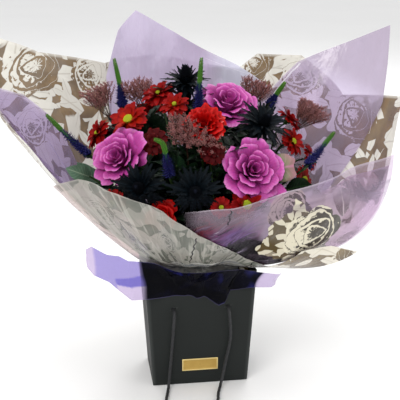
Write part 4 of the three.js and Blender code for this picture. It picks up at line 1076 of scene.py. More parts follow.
def floral_print(flat, roses, patchy, shift):
    """A made-up print of roses among leaves that stand light on dark patches: the ink's strength."""
    patch = flat.moved(shift, 0.17, 0.0).noise(17, 2, 0.4, 0.5).ramp((patchy, 0.0), (patchy + 0.015, 1.0))
    large, large_rib = leaf_motifs(flat, 21.0, shift)
    small, small_rib = leaf_motifs(flat, 38.0, shift + 0.7)
    ink = (patch * (1.0 - large.most(small))).most(large_rib.most(small_rib) * 0.3)
    for place in roses:
        inside, drawn = rose_motif(flat, *place)
        ink = inside.mix(ink, drawn)
    return ink


def stroke(flat, start, end, width, swing=0.9):
    """A thin wandering line between two places on the film, in millimetres."""
    s, t = flat.in_mm()
    low, high = sorted((start[1], end[1]))
    lean = (end[0] - start[0]) / (end[1] - start[1])
    middle = (t - start[1]) * lean + start[0]
    wander = (t * 0.42).do("SINE") * (width * swing)
    thin = abs(s + wander - middle).do("LESS_THAN", width)
    return thin * (t.do("GREATER_THAN", low) * t.do("LESS_THAN", high))


def print_paint(name, ivory, inks, shares, tint, roses, patchy, **more):
    """Film with a light and dark print, partly see-through."""
    paint = Paint(name)
    along, aside = paint.shade("along", "aside")
    flat = paint.flat()
    ink = floral_print(flat, roses, patchy, more.get("shift", 0.0))
    cloudy = flat.noise(24, 4)
    inked = cloudy.ramp((0.35, 0.0), (0.6, 1.0)).mix(*inks)
    coat = Coat(ink.mix(cloudy.mix(*ivory), inked), ink.mix(*shares))
    if "streaks" in more:
        # Lighter streaks over the film: a painted sheen
        gleam = flat.scaled(60, 7, 1).noise(1.0, 5, warp=1.2).ramp((0.5, 0.0), (0.62, 1.0))
        coat.lay(gleam * 0.5, more["streaks"], 0.75)
    if "fold" in more:
        # Crumpled and in shadow below a line of places, with glints
        places, dark = more["fold"]
        s, t = flat.in_mm()
        first, wide = places[0][0], places[-1][0] - places[0][0]
        limit = ((s - first) / wide).ramp(*[((at - first) / wide, height / 100) for at, height in places])
        zone = (limit - t / 100.0).ramp((0.0, 0.0), (0.02, 0.9), (0.3, 1.0))
        shine = flat.scaled(9, 70, 1).noise(1.0, 3, warp=0.7)
        grey = tuple(lerp(a, b, 0.7) for a, b in zip(dark, ivory[1]))
        glint = rgb(226, 226, 220)
        coat.lay(zone, shine.ramp((0.4, dark), (0.46, grey), (0.56, grey), (0.64, glint), (0.7, grey)), 0.97)
    for start, end, width in more.get("strokes", ()):
        coat.lay(stroke(flat, start, end, width), rgb(22, 22, 24), 0.9)
    # A painted highlight along the film's top edge
    colour = along.ramp((0.988, 0.0), (0.997, 0.6)).mix(coat.colour, ivory[1])
    solid = coat.solid * aside.ramp((0.02, 0.0), (0.3, 1.0)) if "fade" in more else coat.solid
    film = paint.surface(colour, 0.24, crumple_bump(flat), Specular_IOR_Level=0.6, Coat_Weight=0.2)
    return paint.done(paint.see_through(film, tint, solid))


# The front film's reach on its flat sheet, in millimetres: where it starts, how far it runs, how high
FRONT_START, FRONT_RUN, FRONT_RISE = 1110.0, 400.0, 300.0


def front_paint():
    """The outer lilac film on the right, crumpled over dark stems, with painted shade and glints, a bold rose and
    a faint one.
    """
    paint = Paint("film_lilac_front")
    along, aside = paint.shade("along", "aside")
    flat = paint.flat()
    s, t = flat.in_mm()
    run, rise = (s - FRONT_START) / FRONT_RUN, t / FRONT_RISE
    cloudy = flat.noise(9, 3)
    slanted = flat.turned(-0.43)
    streak = slanted.scaled(13, 74, 1).noise(1.0, 5, warp=0.7)
    coat = Coat(
        cloudy.mix(rgb(172, 158, 190), rgb(198, 184, 202)),
        streak.ramp((0.35, 0.22), (0.62, 0.34), (0.78, 0.5)),
    )

    def below(soft, *places):
        limit = run.ramp(*[((at - FRONT_START) / FRONT_RUN, height / FRONT_RISE) for at, height in places])
        return (limit + (cloudy - 0.5) * 0.2 - rise).ramp((0.0, 0.0), (soft, 1.0))

    # Crumpled film over the flowers: wine-red streaks, with near-black painted shade and light painted highlights
    red_streaks_shade_and_glints = streak.ramp(
        (0.34, rgb(14, 5, 10)), (0.43, rgb(46, 14, 26)), (0.49, rgb(108, 22, 38)), (0.54, rgb(66, 28, 48)),
        (0.59, rgb(84, 58, 84)), (0.65, rgb(132, 106, 128)), (0.72, rgb(220, 208, 214)),
    )
    crumpled = below(0.12, (1120, 156), (1180, 164), (1260, 168), (1310, 156), (1350, 60)) * 0.94
    coat.lay(run.ramp((0.3, 0.75), (0.5, 0.0)), rgb(142, 120, 134), 0.5)
    coat.lay(crumpled, red_streaks_shade_and_glints, 0.88)
    zone = rise.ramp((0.26, 0.0), (0.34, 1.0), (0.42, 1.0), (0.5, 0.0))
    zone = zone * run.ramp((0.12, 0.0), (0.3, 1.0), (0.46, 1.0), (0.56, 0.0))
    coat.lay(zone * streak.ramp((0.4, 0.2), (0.48, 0.9), (0.55, 0.3)), rgb(112, 90, 146), 0.85)

    leaves, ribs = leaf_motifs(flat, 17.0, 0.9)
    printed = run.ramp((0.42, 0.0), (0.52, 1.0), (0.86, 1.0), (0.95, 0.0))
    printed = printed * rise.ramp((0.3, 0.0), (0.4, 1.0), (0.66, 1.0), (0.76, 0.0))
    coat.lay(printed * cloudy.ramp((0.4, 0.35), (0.6, 0.75)), rgb(178, 156, 168), 0.7)
    coat.lay(printed * leaves, rgb(94, 72, 86), 0.82)
    coat.lay(printed * ribs, rgb(176, 158, 168), 0.78)

    # Painted near-black shade over the dark stems behind the film, with light painted glints
    stems = slanted.scaled(16, 30, 1).noise(1.0, 4, warp=1.2).ramp(
        (0.44, rgb(7, 5, 9)), (0.56, rgb(26, 18, 28)), (0.64, rgb(64, 56, 72)), (0.71, rgb(186, 178, 192)),
    )
    shadowed = below(0.06, (1150, 84), (1240, 112), (1310, 124), (1380, 110), (1440, 80), (1475, 30))
    coat.lay(shadowed, stems, 0.95)

    faint, drawn = rose_motif(flat, (1339, 172), 38, 1.0, bold=0.26)
    coat.lay(faint, drawn.mix(rgb(150, 130, 138), rgb(64, 46, 54)), 0.9)
    leaves = leaf_motifs(flat, 36.0, 0.25)[0].most(leaf_motifs(flat, 50.0, 0.6)[0])
    around = flat.moved(-1.385, -0.128, 0.0).scaled(1 / 0.074, 1 / 0.074, 0.0).length()
    patch = (around * 0.5 + flat.noise(22, 2) * 0.6).ramp((0.7, 1.0), (0.715, 0.0))
    coat.lay(patch, leaves.mix(rgb(82, 68, 38), rgb(206, 199, 176)), 0.94)
    bold, drawn = rose_motif(flat, (1400, 146), 50, 0.4, bold=0.24)
    coat.lay(bold, drawn.mix(rgb(212, 205, 182), rgb(46, 38, 22)), 0.97)

    fold = along.ramp((0.78, 0.0), (0.86, 0.5), (0.885, 0.75), (0.9, 0.0)) * run.ramp((0.5, 0.0), (0.62, 1.0))
    coat.lay(fold * streak.ramp((0.4, 0.3), (0.6, 1.0)), rgb(104, 84, 112), 0.7)
    coat.lay(stroke(flat, (1214, 180), (1216, 150), 1.7), rgb(30, 18, 34), 0.9)
    # A painted highlight along the rim
    coat.lay(along.ramp((0.986, 0.0), (0.997, 0.6)), rgb(226, 214, 226), 0.6)

    # Its left end fades out, and the dark parts don't shine
    shown = aside.ramp((0.0, 0.0), (0.1, 1.0))
    dull = crumpled.most(shadowed)
    sheen, gloss = dull.mix(0.55, 0.07), dull.mix(0.2, 0.02)
    film = paint.surface(coat.colour, 0.2, crumple_bump(flat), Specular_IOR_Level=sheen, Coat_Weight=gloss)
    tint = shown.mix(1.0, cloudy.mix(rgb(222, 208, 228), rgb(236, 222, 232)))
    return paint.done(paint.see_through(film, tint, coat.solid * shown))


EVERY_HEIGHT = [(0, 1.0), (999, 1.0)]
FILM_FINISH = {
    "film_lilac_back": lilac_paint(
        "film_lilac", (rgb(184, 170, 206), rgb(206, 194, 220)), 0.5,
        [
            ([(300, 0.0), (345, 1.0), (560, 1.0)], EVERY_HEIGHT, 0.9, rgb(206, 194, 222)),
            # A bluish-white painted reflection across the middle of the sheet
            ([(222, 0.0), (250, 0.85), (300, 0.85), (335, 0.0)], EVERY_HEIGHT, 0.78, rgb(220, 226, 242)),
            ([(0, 1.0), (150, 1.0), (200, 0.0)], [(285, 0.0), (335, 1.0)], 0.78, rgb(172, 158, 178)),
        ],
        [((171, 326), (206, 272), 1.3), ((340, 330), (250, 306), 1.0)],
    ),
    "film_lilac_left": lilac_paint("film_lilac_side", (rgb(180, 164, 216), rgb(204, 190, 226)), 0.7),
    "film_print_back": print_paint(
        "film_print_inner",
        (rgb(212, 210, 196), rgb(230, 228, 218)), (rgb(132, 104, 58), rgb(100, 78, 44)), (0.9, 0.94),
        rgb(226, 220, 226),
        [
            ((670, 336), 42, 0.3, True), ((586, 308), 34, 1.4), ((705, 262), 32, 2.2),
            ((70, 279), 40, 0.9, True), ((171, 306), 32, 2.8), ((248, 326), 34, 0.1, True),
            ((380, 320), 44, 1.9), ((490, 230), 38, 0.6), ((792, 250), 36, 1.1, True),
        ],
        0.4,
    ),
    "film_print_right_front": print_paint(
        "film_print_veil",
        (rgb(190, 172, 190), rgb(214, 200, 210)), (rgb(112, 88, 100), rgb(84, 66, 78)), (0.34, 0.7),
        rgb(232, 212, 226),
        [((1300, 170), 34, 1.0), ((1420, 215), 36, 0.4), ((1480, 150), 30, 0.4)],
        0.5, shift=0.2, fade=True,
    ),
    "film_lilac_right_front": front_paint(),
    "film_print_fold": print_paint(
        "film_print_fold",
        (rgb(214, 208, 188), rgb(234, 228, 212)), (rgb(118, 98, 52), rgb(84, 68, 36)), (0.92, 0.95),
        rgb(224, 214, 228),
        [((1466, 152), 26, 0.4, True)],
        0.4, shift=0.4,
    ),
    "film_print_left_front": print_paint(
        "film_print_outer",
        (rgb(146, 146, 136), rgb(174, 170, 162)), (rgb(116, 119, 109), rgb(100, 103, 94)), (0.76, 0.84),
        rgb(240, 196, 204),
        [((1068, 109), 27, 0.8), ((1230, 120), 34, 2.0), ((940, 150), 30, 1.2)],
        0.46, shift=1.1, streaks=rgb(206, 204, 194),
        # Below this line of places: painted shadow, with painted glints
        fold=([(950, 0), (1000, 20), (1060, 46), (1120, 54), (1290, 46), (1400, 22)], rgb(120, 124, 126)),
        strokes=[((1146, 126), (1124, 62), 2.0), ((1335, 84), (1372, 20), 1.8), ((1030, 40), (1034, 8), 1.4)],
    ),
}


def films():
    for order, (name, (layer, flop, outline, cut)) in enumerate(FILMS.items()):
        crumple = 0.55 if "back" in name else 1.0
        skin = film_skin(outline, layer, flop, 3 + order * 5, crumple)
        piece = add_piece(name.replace("film_", "wrap_"), skin, [FILM_FINISH[name]], [name])


films()


# The sash of lilac film round the bag's mouth, with its tails. By bearing, how far its lower edge stands
# off the card, that edge's height, and the same for its upper edge
SASH = [
    (182, 83, 185, 83, 212), (190, 74, 178, 76, 225), (198, 54, 173, 56, 217), (206, 42, 163, 41, 219),
    (214, 25, 152, 30, 216), (226, 1.7, 150, 25, 211), (238, 1.7, 150, 23, 201), (250, 1.7, 151, 23, 195),
    (262, 1.7, 145, 23, 195), (274, 1.7, 147, 23, 195), (287, 1.7, 139, 23, 195), (296, 1.7, 130, 23, 195),
    (303, 1.7, 134, 23.5, 195), (308, 1.7, 156, 24, 195), (320, 14, 160, 27, 188), (331, 32, 163, 40, 182),
]
SASH_COLUMNS = 170
SASH_ROWS = 26
SASH_RADIUS = 90


def card_radius(bearing, z):
    x, y = card_half(min(z, BAG_HEIGHT))
    c, s = way_of(bearing)
    return min(x / max(abs(c), 1e-6), y / max(abs(s), 1e-6))


def sash_paint():
    paint = Paint("film_lilac_sash")
    along, tone, kind = paint.shade("along", "tone", "kind")
    flat = paint.flat()
    cover = kind.ramp((0.0, rgb(208, 194, 222)), (0.5, rgb(166, 156, 210)), (1.0, rgb(120, 110, 194)))
    body = kind.ramp((0.0, rgb(186, 170, 202)), (0.5, rgb(140, 128, 190)), (1.0, rgb(98, 88, 178)))
    body = (flat.noise(12, 3) * 0.3).mix(body, rgb(196, 186, 226))
    # Where the sash lies over the bag: near-black navy, its lighter bands painted violet glints
    navy_and_glints = flat.scaled(16, 22, 1).noise(1.0, 3, warp=0.8).ramp(
        (0.4, rgb(3, 3, 8)), (0.52, rgb(8, 8, 22)), (0.6, rgb(30, 30, 84)), (0.66, rgb(12, 12, 34)),
        (0.74, rgb(52, 52, 112)),
    )
    # Painted highlights along both edges of the sash
    rim = along.ramp((0.0, 1.0), (0.02, 0.0), (0.985, 0.0), (0.997, 1.0))
    body = (rim * 0.25).mix(tone.mix(body, navy_and_glints), rgb(150, 144, 200))
    share = tone.mix(kind.ramp((0.0, 0.42), (0.5, 0.46), (1.0, 0.6)), 0.9)
    film = paint.surface(body, 0.16, crumple_bump(flat, 1.4), Specular_IOR_Level=tone.mix(0.3, 0.05))
    return paint.done(paint.see_through(film, tone.mix(cover, rgb(30, 28, 70)), share))


def sash_lap(b, z):
    """How many sheets lie over one another at a place of the sash, as a share."""
    left, right = ease((b - 190) / 1.5), ease((b - 203) / 1.2)
    lap = 0.5 * left + 0.5 * right * ease((190 - 0.6 * (214 - b) - z) / 1.5)
    return lap * (1 - right * ease((174 - z) / 1.5)) * ease((319 - b) / 4)


def sash():
    table = np.array(SASH, float)
    folds = creases(91, 8, (14, 40), (0.5, 1.6))
    points = np.zeros((SASH_ROWS, SASH_COLUMNS, 3))
    looks = np.zeros((SASH_ROWS, SASH_COLUMNS, 4))
    flats = np.zeros((SASH_ROWS, SASH_COLUMNS, 3))
    for i, b in enumerate(np.linspace(table[0, 0], table[-1, 0], SASH_COLUMNS)):
        low_off, low_z, high_off, high_z = (np.interp(b, table[:, 0], table[:, n]) for n in range(1, 5))
        low_z += 0.9 * math.sin(b * 0.3)
        s = math.radians(b) * SASH_RADIUS
        on_bag = ease((b - 217.4) / 1.2) * ease((321.6 - b) / 1.2)
        c, d = way_of(b)
        for j in range(SASH_ROWS):
            share = j / (SASH_ROWS - 1)
            off = lerp(low_off, high_off, share**2)
            z = lerp(low_z, high_z, share)
            free = min(1.0, max(0.12, (off - 1.2) / 12))
            off = max(off + folds(s, z) * free * 1.5, min(off, 1.5))
            r = card_radius(b, z) + off
            points[j, i] = (r * c, r * d, z)
            looks[j, i] = (share, i / SASH_COLUMNS, on_bag, sash_lap(b, z))
            flats[j, i] = (s * MM, z * MM, 0)
    skin = Skin()
    skin.grid(points, looks, flats=flats)
    piece = add_piece("wrap_sash", skin, [sash_paint()], ["film_sash"])


sash()


# The heads and their stems
TIE_Z = 198
TIE_SHARE = 0.17
SPREAD_Z = 300
SETTLED_RISE = 80
STEM_FOOT_Z = 17.5
STEM_GAP = 1.3
LEAFY = 85
KALE_FOOT = -39
CARNATION_FOOT = -22
PETAL = 1.1


def make_head(name, heart, axis, sink, stem, **more):
    out = unit(axis)
    at = vec(*heart)
    return {"name": name, "heart": at, "axis": out, "neck": at - out * sink, "stem": stem, **more}


KALES = [
    make_head(name, heart, axis, 13 - KALE_FOOT, 3.6, radius=radius, roll=roll)
    for name, heart, axis, radius, roll in (
        ("kale_left", (-120, -74, 374), (-0.5, -0.66, 0.56), 45, 0.4),
        ("kale_right", (64, -120, 360), (0.12, -0.86, 0.5), 47, 1.3),
        ("kale_top", (46, -24, 436), (0.15, -0.55, 0.82), 45, 2.2),
        ("kale_back", (26, 98, 392), (0.1, 0.75, 0.66), 43, 0.9),
    )
]
CARNATIONS = [
    make_head(name, heart, axis, 14 - CARNATION_FOOT, 2.4, radius=radius, roll=roll)
    for name, heart, axis, radius, roll in (
        ("carnation_top", (0, -84, 420), (-0.1, -0.6, 0.8), 33, 0.5),
        ("carnation_front", (-66, -123, 300), (-0.35, -0.85, 0.4), 26, 1.0),
        ("carnation_back", (-66, 74, 402), (-0.3, 0.6, 0.74), 30, 0.2),
    )
]
# Each bloom's heart, axis and radius, and whether it is a small one
DAISY_BLOOMS = {
    "daisies_left": [
        ((-100, -34, 414), (-0.45, -0.5, 0.74), 31, False),
        ((-142, -4, 388), (-0.8, -0.2, 0.57), 25, False),
        ((-128, -98, 312), (-0.6, -0.72, 0.3), 21, True),
    ],
    "daisies_top": [
        ((-54, 2, 442), (-0.3, -0.3, 0.9), 27, False),
        ((-36, -46, 436), (-0.3, -0.5, 0.8), 22, False),
        ((-70, -88, 396), (-0.4, -0.75, 0.5), 20, True),
    ],
    "daisies_front": [
        ((50, -137, 315), (0.2, -0.93, 0.32), 24, False),
        ((15, -140, 314), (0, -0.95, 0.3), 15, True),
        ((8, -112, 384), (0, -0.85, 0.5), 18, True),
    ],
    "daisies_right": [
        ((138, 2, 398), (0.7, -0.1, 0.7), 24, False),
        ((132, -50, 378), (0.65, -0.6, 0.5), 23, False),
        ((166, -24, 346), (0.9, -0.35, 0.3), 22, True),
        ((146, -66, 326), (0.75, -0.65, 0.2), 21, True),
    ],
    "daisies_back": [
        ((86, 70, 398), (0.5, 0.55, 0.66), 25, False),
        ((-20, 40, 446), (-0.1, 0.3, 0.95), 23, True),
        ((-124, 60, 368), (-0.7, 0.5, 0.5), 24, True),
    ],
}
# Blooms by heart: how streaked with orange, which are turned away (closed over the eye, and in a darker red
# that paints shade on them), and how large and green the open ones' eyes are
STREAKS = {(-100, -34, 414): 0.9, (-36, -46, 436): 0.6, (132, -50, 378): 0.4}
CLOSED = {(-70, -88, 396), (8, -112, 384)}
EYES = {
    (50, -137, 315): (1.4, 1.0), (15, -140, 314): (0.9, 0.8), (-100, -34, 414): (1.1, 0.0),
    (-54, 2, 442): (0.6, 0.2), (-36, -46, 436): (0.7, 0.3), (-142, -4, 388): (0.7, 0.0),
}


def daisy_spray_head(name, rows):
    blooms = [
        make_head(
            name, heart, axis, 8, 1.5, radius=radius, small=small, roll=0.7 * k,
            streak=STREAKS.get(heart, 0.15), closed=heart in CLOSED, eye=EYES.get(heart, (1.0, 0.3)),
        )
        for k, (heart, axis, radius, small) in enumerate(rows)
    ]
    middle = sum(bloom["neck"] for bloom in blooms) / len(blooms)
    neck = vec(middle[0] * 0.67, middle[1] * 0.67, middle[2] - 62)
    return {"name": name, "blooms": blooms, "neck": neck, "axis": vec(0, 0, 1), "stem": 2.2}


DAISY_SPRAYS = [daisy_spray_head(name, rows) for name, rows in DAISY_BLOOMS.items()]
SEA_HOLLIES = [
    make_head(name, heart, axis, 8, 2, radius=radius, roll=roll, cone=cone)
    for name, heart, axis, radius, roll, cone in (
        ("sea_holly_right", (86, -62, 408), (0.35, -0.5, 0.8), 44, 0.0, 20),
        ("sea_holly_left", (-92, -116, 338), (-0.4, -0.8, 0.4), 40, 0.3, 19),
        ("sea_holly_front", (-20, -138, 336), (-0.1, -0.9, 0.4), 42, 0.2, 19),
        ("sea_holly_top", (-14, 4, 458), (-0.05, -0.15, 0.98), 38, 0.6, 26),
        ("sea_holly_back", (84, 112, 352), (0.5, 0.7, 0.4), 40, 0.1, 20),
    )
]
SPEEDWELLS = [
    make_head(name, spike[0], vec(*spike[1]) - vec(*spike[0]), 2, 1.6, spike=spike, blue=blue)
    for name, spike, blue in (
        ("speedwell_left", [(-104, 24, 418), (-108, 30, 452), (-115, 38, 490)], 0.45),
        ("speedwell_top", [(-2, -44, 424), (0, -38, 462), (4, -30, 500)], 0.5),
        ("speedwell_far_left", [(-154, -24, 360), (-187, -4, 387), (-216, 14, 415)], 0.62),
        ("speedwell_middle", [(-52, -118, 352), (-57, -126, 380), (-62, -122, 402), (-72, -114, 406)], 0.55),
        ("speedwell_right", [(146, -86, 350), (174, -56, 368), (201, -28, 385)], 0.6),
        ("speedwell_back", [(112, 22, 414), (124, 20, 434), (136, 18, 452)], 0.45),
    )
]
SEA_LAVENDERS = [
    make_head(name, heart, axis, 44, 1.4, radius=radius, depth=44)
    for name, heart, axis, radius in (
        ("sea_lavender_left", (-140, 40, 440), (-0.4, 0.1, 0.9), 26),
        ("sea_lavender_top", (-82, 30, 452), (-0.2, 0, 0.97), 26),
        ("sea_lavender_middle", (-32, -96, 420), (-0.2, -0.5, 0.84), 27),
        ("sea_lavender_right", (176, 10, 414), (0.6, 0, 0.8), 27),
        ("sea_lavender_far", (96, 24, 448), (0.3, 0, 0.95), 26),
    )
]
LEAFY_STALKS = [
    make_head(name, heart, axis, 2, 1.6, long=long, wide=wide, leaves=leaves)
    for name, heart, axis, long, wide, leaves in (
        ("leaves_left", (-158, -30, 332), (-0.8, -0.4, 0.45), 48, 26, 5),
        ("leaves_front", (-42, -112, 366), (-0.1, -0.8, 0.6), 46, 22, 6),
        ("leaves_middle", (24, -104, 378), (0, -0.6, 0.8), 46, 22, 6),
        ("leaves_right", (116, -100, 322), (0.6, -0.75, 0.3), 48, 24, 5),
        ("leaves_back", (-36, 104, 380), (-0.2, 0.8, 0.5), 48, 24, 5),
    )
]
ALL_HEADS = KALES + CARNATIONS + DAISY_SPRAYS + SEA_HOLLIES + SPEEDWELLS + SEA_LAVENDERS + LEAFY_STALKS


def gather(z):
    """How close the stems stand at a height, as a share of their spread at the top."""
    if z <= TIE_Z:
        return TIE_SHARE * (1 + (0.22 * (TIE_Z - z)) / TIE_Z)
    return TIE_SHARE + (1 - TIE_SHARE) * ((z - TIE_Z) / (SPREAD_Z - TIE_Z)) ** 1.25


def settled_stems(heads):
    """Where the stems stand at the tie: drawn in, then pushed apart until they only just touch."""
    spots = []
    for head in heads:
        share = TIE_SHARE / gather(head["neck"][2])
        spots.append([head["neck"][0] * share, head["neck"][1] * share, head["stem"]])
    for _ in range(500):
        moved = False
        for i, a in enumerate(spots):
            for b in spots[i + 1 :]:
                dx, dy = b[0] - a[0], b[1] - a[1]
                far = math.hypot(dx, dy) or 0.01
                push = (a[2] + b[2] + STEM_GAP - far) / 2
                if push <= 0:
                    continue
                moved = True
                a[0] -= dx / far * push
                a[1] -= dy / far * push
                b[0] += dx / far * push
                b[1] += dy / far * push
        if not moved:
            break
    return {head["name"]: spot for head, spot in zip(heads, spots)}


STEM_SPOTS = settled_stems(ALL_HEADS)


def stem_at(head, z):
    neck, spot = head["neck"], STEM_SPOTS[head["name"]]
    share = gather(z) / gather(neck[2])
    settled = min(1.0, max(0.0, (TIE_Z + SETTLED_RISE - z) / SETTLED_RISE))
    fade = settled * settled * (3 - 2 * settled)
    home = TIE_SHARE / gather(neck[2])
    splay = min(1.3, gather(z) / TIE_SHARE)
    return vec(*(neck[n] * share + (spot[n] - neck[n] * home) * fade * splay for n in (0, 1)), z)


# The innermost film's radius by bearing and height, so that leaves stay inside it
WALL_FOOT, WALL_TOP, WALL_RISE, WALL_TURN = 200, 560, 5, 4


def wall_row(bearing):
    heights = np.arange(WALL_FOOT, WALL_TOP, WALL_RISE)
    r, z = Column(float(bearing)).polar(np.linspace(0, 1.15, 60), 0, -4.0)
    return np.where(heights > z[-1], np.interp(heights, z, r).max() * 1.1, np.interp(heights, z, r))


WALL = [wall_row(bearing) for bearing in range(0, 360, WALL_TURN)]


def kept_in(point, room=1.0):
    """The point, drawn in towards the middle where it would pass through the films."""
    bearing = math.degrees(math.atan2(point[1], point[0])) % 360
    row = WALL[int(bearing / WALL_TURN + 0.5) % len(WALL)]
    limit = row[int(min(max((point[2] - WALL_FOOT) / WALL_RISE, 0), len(row) - 1))] - room
    far = math.hypot(point[0], point[1])
    if far <= limit:
        return point
    return vec(point[0] * limit / far, point[1] * limit / far, point[2])


def add_stem(skin, head, finish, tone=0.5, sides=8):
    """A head's stem, from the floor of the well to a little inside the head, with its nodes."""
    neck, axis = head["neck"], head["axis"]
    heights = np.concatenate([np.linspace(STEM_FOOT_Z, TIE_Z, 10)[:-1], np.arange(TIE_Z, neck[2] - 6, 9.0)])
    line = np.array([stem_at(head, z) for z in heights] + [neck - axis * 1.5, neck + axis * 3, neck + axis * 6])
    girth = np.full(len(line), head["stem"] * 0.92)
    girth[::7] *= 1.1
    girth[-1] *= 0.7
    skin.tube(line, girth, sides, tone, finish)


# Plant materials
def petal_paint(name, root, middle, tip, vein=0.0, gloss=0.45, soft=0.05, lines=16.0, streak=None, shine=0.25):
    """A petal: its colour runs from root to tip, with fine veins, and each petal's own tone darkens it towards
    painted shade.
    """
    paint = Paint(name)
    along, aside, tone, kind = paint.shade("along", "aside", "tone", "kind")
    mottle = paint.place().noise(160, 4)
    colour = (along + (mottle - 0.5) * 0.16).ramp((0.05, root), (0.5, middle), (0.84, middle), (0.99, tip))
    rib = abs(((aside - 0.5) * lines).do("SINE"))
    colour = (rib.ramp((0.0, 1.0), (0.35, 0.0)) * vein).mix(colour, root)
    # Painted shade: a low tone mixes the colour towards its deep-shade copy
    colour = tone.ramp((0.0, 0.42), (0.5, 0.08), (1.0, 0.0)).mix(colour, shaded(middle))
    if streak:
        colour = (kind * along.ramp((0.1, 1.0), (0.8, 0.0))).mix(colour, streak)
    normal = (rib * 0.5 + mottle).bump(0.3, 0.0012)
    under = {"Subsurface_Weight": soft, "Subsurface_Scale": 0.004}
    return paint.done(paint.surface(colour, gloss, normal, **under, Specular_IOR_Level=shine))


def leaf_paint(name, deep, light, rib, gloss=0.4, blush=None, shine=0.3):
    """A leaf or stalk: darker between the veins, lighter along the rib, and darkened by its own tone towards
    painted shade.
    """
    paint = Paint(name)
    along, aside, tone, kind = paint.shade("along", "aside", "tone", "kind")
    mottle = paint.place().noise(90, 5)
    # Painted shade: a low tone mixes the colour towards its deep-shade copy
    colour = tone.ramp((0.0, 0.6), (0.6, 0.0)).mix(mottle.mix(deep, light), shaded(deep))
    side = abs(aside - 0.5)
    veins = abs(((along * 9.0 - side * 5.0) * 3.0).do("SINE"))
    middle_rib = side.ramp((0.0, 1.0), (0.05, 0.0)) * kind
    colour = middle_rib.most(veins.ramp((0.0, 0.6), (0.2, 0.0)) * kind).mix(colour, rib)
    if blush:
        colour = along.ramp((0.1, 0.8), (0.75, 0.15), (0.95, 0.6)).mix(colour, blush)
    normal = (veins * 0.6 + mottle).bump(0.35, 0.0015)
    return paint.done(paint.surface(colour, gloss, normal, Specular_IOR_Level=shine))


KALE_PETAL = petal_paint(
    "kale_petal", rgb(120, 24, 96), rgb(176, 62, 146), rgb(206, 118, 184), 0.3, 0.5, 0.12, lines=34
)
KALE_LEAF = leaf_paint(
    "kale_leaf", rgb(60, 84, 50), rgb(120, 138, 92), rgb(176, 130, 148), 0.5, blush=rgb(168, 96, 124)
)
STALK = leaf_paint("foliage_stalk", rgb(24, 44, 16), rgb(52, 82, 32), rgb(84, 112, 56), 0.5)
LEAF_DARK = leaf_paint("foliage_dark", rgb(7, 20, 12), rgb(20, 46, 24), rgb(40, 72, 38), 0.36)
LEAF_SAGE = leaf_paint("foliage_sage", rgb(66, 98, 80), rgb(106, 138, 112), rgb(150, 174, 148), 0.55)
RED_RUFFLE = petal_paint(
    "carnation_red", rgb(58, 1, 2), rgb(168, 5, 5), rgb(206, 20, 12), 0.3, lines=18, shine=0.12
)
DAISY_RED = petal_paint(
    "daisy_red", rgb(46, 1, 4), rgb(126, 4, 7), rgb(168, 11, 9), 0.3, soft=0.04, lines=14,
    streak=rgb(206, 44, 10), shine=0.08,
)
# A darker copy of the daisy red: painted shade for the blooms that are turned away
DAISY_SHADED_RED = petal_paint(
    "daisy_shaded_red", rgb(18, 1, 3), rgb(66, 4, 8), rgb(104, 8, 10), 0.3, soft=0.04, lines=14, shine=0.06
)
EYE = petal_paint(
    "daisy_eye", rgb(84, 104, 12), rgb(150, 160, 20), rgb(190, 180, 34), gloss=0.6, streak=rgb(92, 140, 10)
)
HOLLY = leaf_paint("sea_holly_bract", rgb(2, 5, 8), rgb(7, 14, 20), rgb(20, 34, 44), 0.5, shine=0.07)
HOLLY_CONE = petal_paint(
    "sea_holly_cone", rgb(2, 3, 6), rgb(5, 7, 12), rgb(12, 15, 26), gloss=0.7, soft=0.0, shine=0.04
)
BLUE = petal_paint("speedwell_blue", rgb(6, 5, 22), rgb(18, 19, 72), rgb(74, 74, 138), gloss=0.6, shine=0.12)
BUD = petal_paint("speedwell_bud", rgb(20, 50, 20), rgb(56, 108, 24), rgb(140, 180, 56), gloss=0.5)
LAVENDER = petal_paint("sea_lavender_tuft", rgb(48, 18, 26), rgb(138, 86, 86), rgb(222, 186, 170), gloss=0.7)
TWIG = leaf_paint("sea_lavender_twig", rgb(40, 24, 20), rgb(82, 52, 40), rgb(104, 80, 62), 0.6)


# Petals and leaves
def polar_petal(
    skin, place, mid, half, foot, rim, reach, tone, rows=12, columns=13, wave=1.4, curl=3.0, cup=2.0, lap=1.2,
    phase=0.0, count=3.2, rounded=0.26, blunt=2.6, notch=0.0, fringe=0.0, teeth=17.0, pinch=0.12, narrow=0.35,
    inner=3.0, kind=0.0,
):
    """A petal that rises from near the axis out to its rim, rounded, cupped and waved."""
    u = down_rows(rows)
    v = np.linspace(-1, 1, columns)[None, :]
    length = 1 - rounded * np.abs(v) ** blunt - notch * np.exp(-((v / 0.16) ** 2))
    length = length - fringe * (1 + np.sin(v * teeth + phase))
    run = u * length
    r = inner + (reach - inner) * run**1.05
    r = r + 0.45 * wave * run**3 * np.cos(count * 1.3 * v * math.pi + phase * 1.7)
    angle = mid + v * (half * (narrow + (1 - narrow) * ease(u / 0.5)) * (1 - pinch * u**5))
    z = foot + (rim - foot) * np.sin(run * math.pi / 2) + cup * (1 - v**2) * run
    z = z - curl * run**6 + lap * v * run
    z = z + wave * run**2 * (0.35 + 0.65 * np.abs(v)) * np.sin(count * v * math.pi + phase)
    points = np.stack([r * np.cos(angle), r * np.sin(angle), z], axis=-1)
    skin.grid(place(points), shading(rows, columns, run, (v + 1) / 2, tone, kind))


